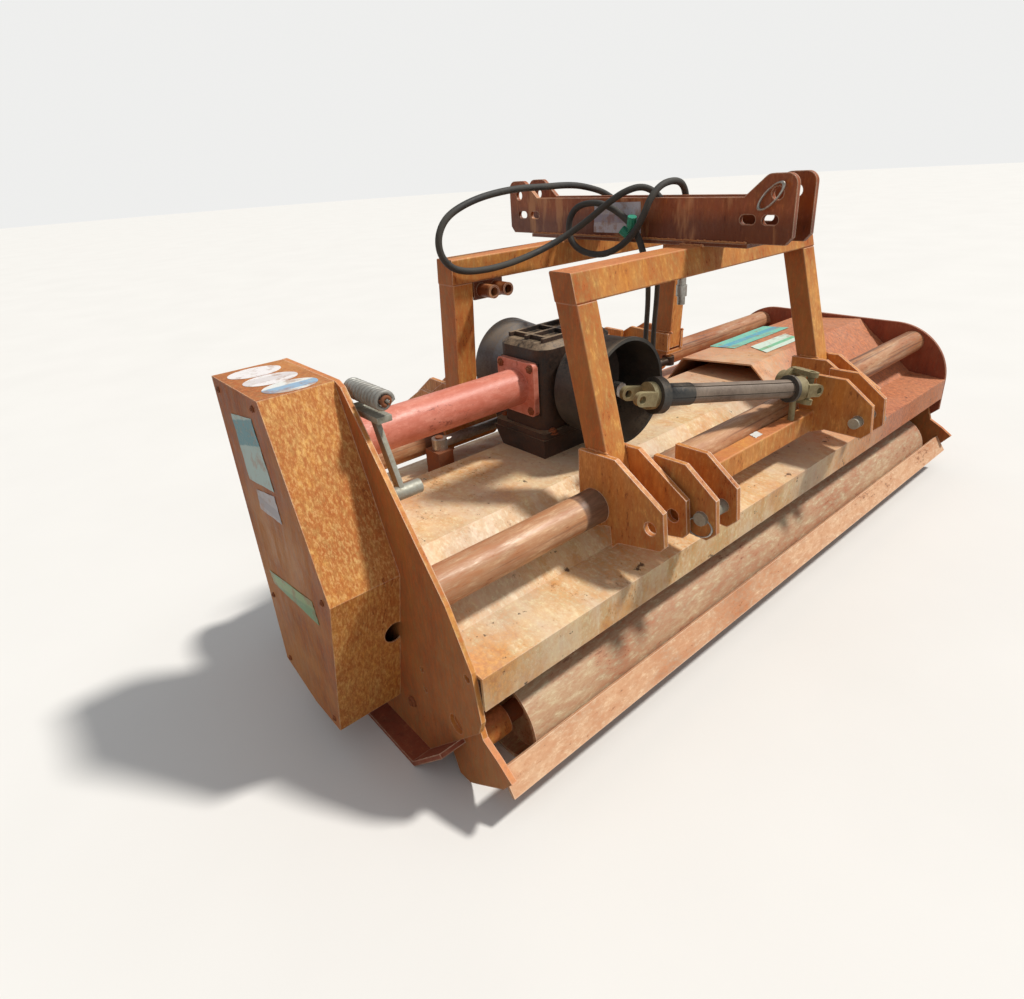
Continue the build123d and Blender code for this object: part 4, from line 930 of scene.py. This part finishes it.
cover_x = cover_low.x
sheets = [
    ("sticker_cover_panel", "casing", (-1, 0, 0), white_teal,
     ((cover_x, 0.090, 0.712), (cover_x, -0.017, 0.728), (cover_x, -0.053, 0.599),
      (cover_x, 0.073, 0.583))),
    ("sticker_cover_low", "casing", (-1, 0, 0), pale_grey,
     ((cover_x, 0.045, 0.571), (cover_x, -0.047, 0.588), (cover_x, -0.056, 0.535),
      (cover_x, 0.048, 0.528))),
    ("sticker_cover_strip", "casing", (-1, 0, 0), green_strip,
     ((cover_x, 0.090, 0.369), (cover_x, -0.122, 0.402), (cover_x, -0.135, 0.356),
      (cover_x, 0.078, 0.342))),
    ("sticker_hood_teal", "casing", (0, 0.088, 1), teal_strip,
     ((0.500, 0.155, 0.4711), (0.862, 0.160, 0.4706), (0.862, 0.058, 0.4796),
      (0.500, 0.058, 0.4796))),
    ("sticker_hood_mint", "casing", (0, 0.088, 1), mint_strip,
     ((0.540, 0.022, 0.4828), (0.760, 0.018, 0.4832), (0.700, -0.072, 0.4911),
      (0.480, -0.070, 0.4909))),
    ("sticker_beam_plate", "hitch", (-1, 0, 0), white_grey,
     ((-0.1405, 0.102, 0.996), (-0.1405, -0.047, 0.999), (-0.1405, -0.049, 0.926),
      (-0.1405, 0.106, 0.924))),
    ("sticker_cross_tube", "hitch", (0, 0, 1), white_blue,
     ((-0.054, -0.334, 0.4431), (-0.022, -0.334, 0.4431), (-0.030, -0.356, 0.4431),
      (-0.062, -0.356, 0.4431))),
]
for name, body, outwards, finish, corners in sheets:
    thicken(sheet_between(corners, outwards), name, body, finish)
ovals = [(-1.073, 0.112, white_plain), (-1.070, 0.042, white_plain), (-1.062, -0.026, white_blue)]
oval_radii = (0.050, 0.034, 1.0, 1.0)
for index, (x, y, finish) in enumerate(ovals):
    clear()
    bpy.ops.mesh.primitive_circle_add(vertices=48, radius=1.0, fill_type="NGON", location=(0, 0, 0))
    oval = bpy.context.active_object
    bpy.ops.object.mode_set(mode="EDIT")
    bpy.ops.mesh.inset(thickness=0.08)
    bpy.ops.object.mode_set(mode="OBJECT")
    oval.data.transform(Matrix.Translation((x, y, cover_high.z + sheet_lift)) @
                        Matrix.Diagonal(oval_radii))
    thicken(oval, "sticker_oval_%d" % index, "casing", finish)
print("stickers:", len(sheets) + len(ovals))

# %% [markdown]
# ## Dust caps and plugs
# Green plastic dust caps hang by the hose couplers, two of them on a strap, and a filler plug and
# a breather stand on the gearbox. A cap is a short cup with a ribbed grip: a cylinder inset, sunk
# and bevelled, its ribs from every second face pushed out.

# %% Dust caps
def cup(radius, height, sides=20):
    """A hollow ribbed cup, open downwards."""
    clear()
    bpy.ops.mesh.primitive_cylinder_add(vertices=sides, radius=radius, depth=height)
    made = bpy.context.active_object
    pull_faces(made, lambda face: face.normal.z < -0.9, (0, 0, height * 0.75),
               inset=radius * 0.18)

    def on_rib(face):
        turn = math.degrees(math.atan2(face.center.y, face.center.x)) % 360
        outer = abs(face.normal.z) < 0.3 and face.center.xy.length > radius * 0.9
        return outer and int(turn / (360 / sides)) % 2 == 1

    swell_faces(made, on_rib, radius * 0.08)
    bevelled(made, radius * 0.06, 1)
    return made


cap_green = bare("cap_green", tone(40, 150, 120), tone(60, 96, 80), 0.0, 0.4, 0.35, shift=30.0)
cap_model = cup(0.013, 0.034)
cap_rows = [
    ((-0.030, -0.104, 0.905), (0.3, -0.4, -1.0), 1.0),
    ((-0.052, -0.086, 0.862), (-0.5, 0.2, -1.0), 1.0),
    ((-0.1750, -0.048, 0.956), (-0.2, -0.3, 1.0), 0.8),
    ((-0.1560, -0.014, 0.928), (-0.3, 0.7, 0.6), 0.8),
]
strap_points = [(-0.173, -0.045, 0.950), (-0.170, -0.036, 0.936), (-0.164, -0.026, 0.931),
                (-0.157, -0.016, 0.930)]
caps = place_copies(cap_model, cap_rows)
caps = joined(caps, wire_piece(strap_points, 0.0022))
settle(caps, "dust_caps", "hitch", cap_green)
bpy.data.objects.remove(cap_model)
print("dust caps:", len(cap_rows))

# %% Filler plug and breather
clear()
bpy.ops.mesh.primitive_cylinder_add(vertices=6, radius=0.013, depth=0.012)
plug = bpy.context.active_object
pull_faces(plug, lambda face: face.normal.z > 0.9, (0, 0, 0.010), inset=0.004)
bevelled(plug, 0.001, 1)
plug_rows = [((gear_middle.x + 0.082, gear_middle.y + 0.048, gear_high.z - 0.020), (0, 0, 1), 1.0),
             ((gear_high.x - 0.012, gear_middle.y - 0.062, gear_middle.z - 0.055), (1, 0, 0), 1.0)]
settle(place_copies(plug, plug_rows), "gearbox_plugs", "casing", rusty_steel)
bpy.data.objects.remove(plug)
print("gearbox plugs:", len(plug_rows))

# %% [markdown]
# ## Floor and light
# The machine stands on a plain floor, pale to the eye, but as dull as bare ground to the light
# that it throws back, so the undersides stay dark. A sun from the front right, as in the picture,
# models the edges, and an even pale sky fills the shade. Both are kept at a level at which a
# colour looks about as it was written.

# %% Floor
floor_radius = 30.0
clear()
bpy.ops.mesh.primitive_circle_add(vertices=64, radius=floor_radius, fill_type="NGON",
                                  location=(0, 0, 0))
floor = bpy.context.active_object
floor.name = "floor"
floor_finish = Finish("floor_paint")
floor_grain = floor_finish.noise(2.0, 4, 0.5)
pale_floor = floor_finish.mix(floor_grain, tone(226, 224, 220), tone(234, 232, 228))
seen = sum((floor_finish.node("ShaderNodeLightPath", out=ray)
            for ray in ("Is Camera Ray", "Is Glossy Ray", "Is Transmission Ray")), 0.0).kept()
floor_colour = floor_finish.mix(seen, tone(128, 116, 98), pale_floor)
floor.data.materials.append(floor_finish.close(floor_colour, 0.85))
print("floor radius", floor_radius, "m")

# %% Light
sun_path = Vector((-0.55, 0.42, -1.0))
sun_data = bpy.data.lights.new("sun", "SUN")
sun_data.energy = 3.1
sun_data.angle = math.radians(6)
sun_data.color = (1.0, 0.97, 0.92)
sun = bpy.data.objects.new("sun", sun_data)
bpy.context.scene.collection.objects.link(sun)
sun.rotation_euler = sun_path.to_track_quat("-Z", "Y").to_euler()
world = bpy.data.worlds.new("sky")
bpy.context.scene.world = world
world.use_nodes = True
sky = world.node_tree
sky.nodes.clear()


def background(colour, strength):
    """An even light from all of the sky."""
    made = sky.nodes.new("ShaderNodeBackground")
    made.inputs["Color"].default_value = (*colour, 1.0)
    made.inputs["Strength"].default_value = strength
    return made.outputs[0]


fill_strength = 0.45
rays = sky.nodes.new("ShaderNodeLightPath")
shown = sky.nodes.new("ShaderNodeMath")
shown.operation = "MAXIMUM"
choice = sky.nodes.new("ShaderNodeMixShader")
output = sky.nodes.new("ShaderNodeOutputWorld")
for source, target in (
        (rays.outputs["Is Camera Ray"], shown.inputs[0]),
        (rays.outputs["Is Transmission Ray"], shown.inputs[1]),
        (shown.outputs[0], choice.inputs["Fac"]),
        (background((0.93, 0.96, 1.0), fill_strength), choice.inputs[1]),
        (background((0.86, 0.86, 0.85), 1.0), choice.inputs[2]),
        (choice.outputs[0], output.inputs["Surface"])):
    sky.links.new(source, target)
bpy.context.scene.view_settings.view_transform = "Standard"
print("sun", sun_data.energy, "fill", fill_strength)

# %% [markdown]
# ## The end
# The view layer is brought up to date.

# %% Finish
bpy.context.view_layer.update()
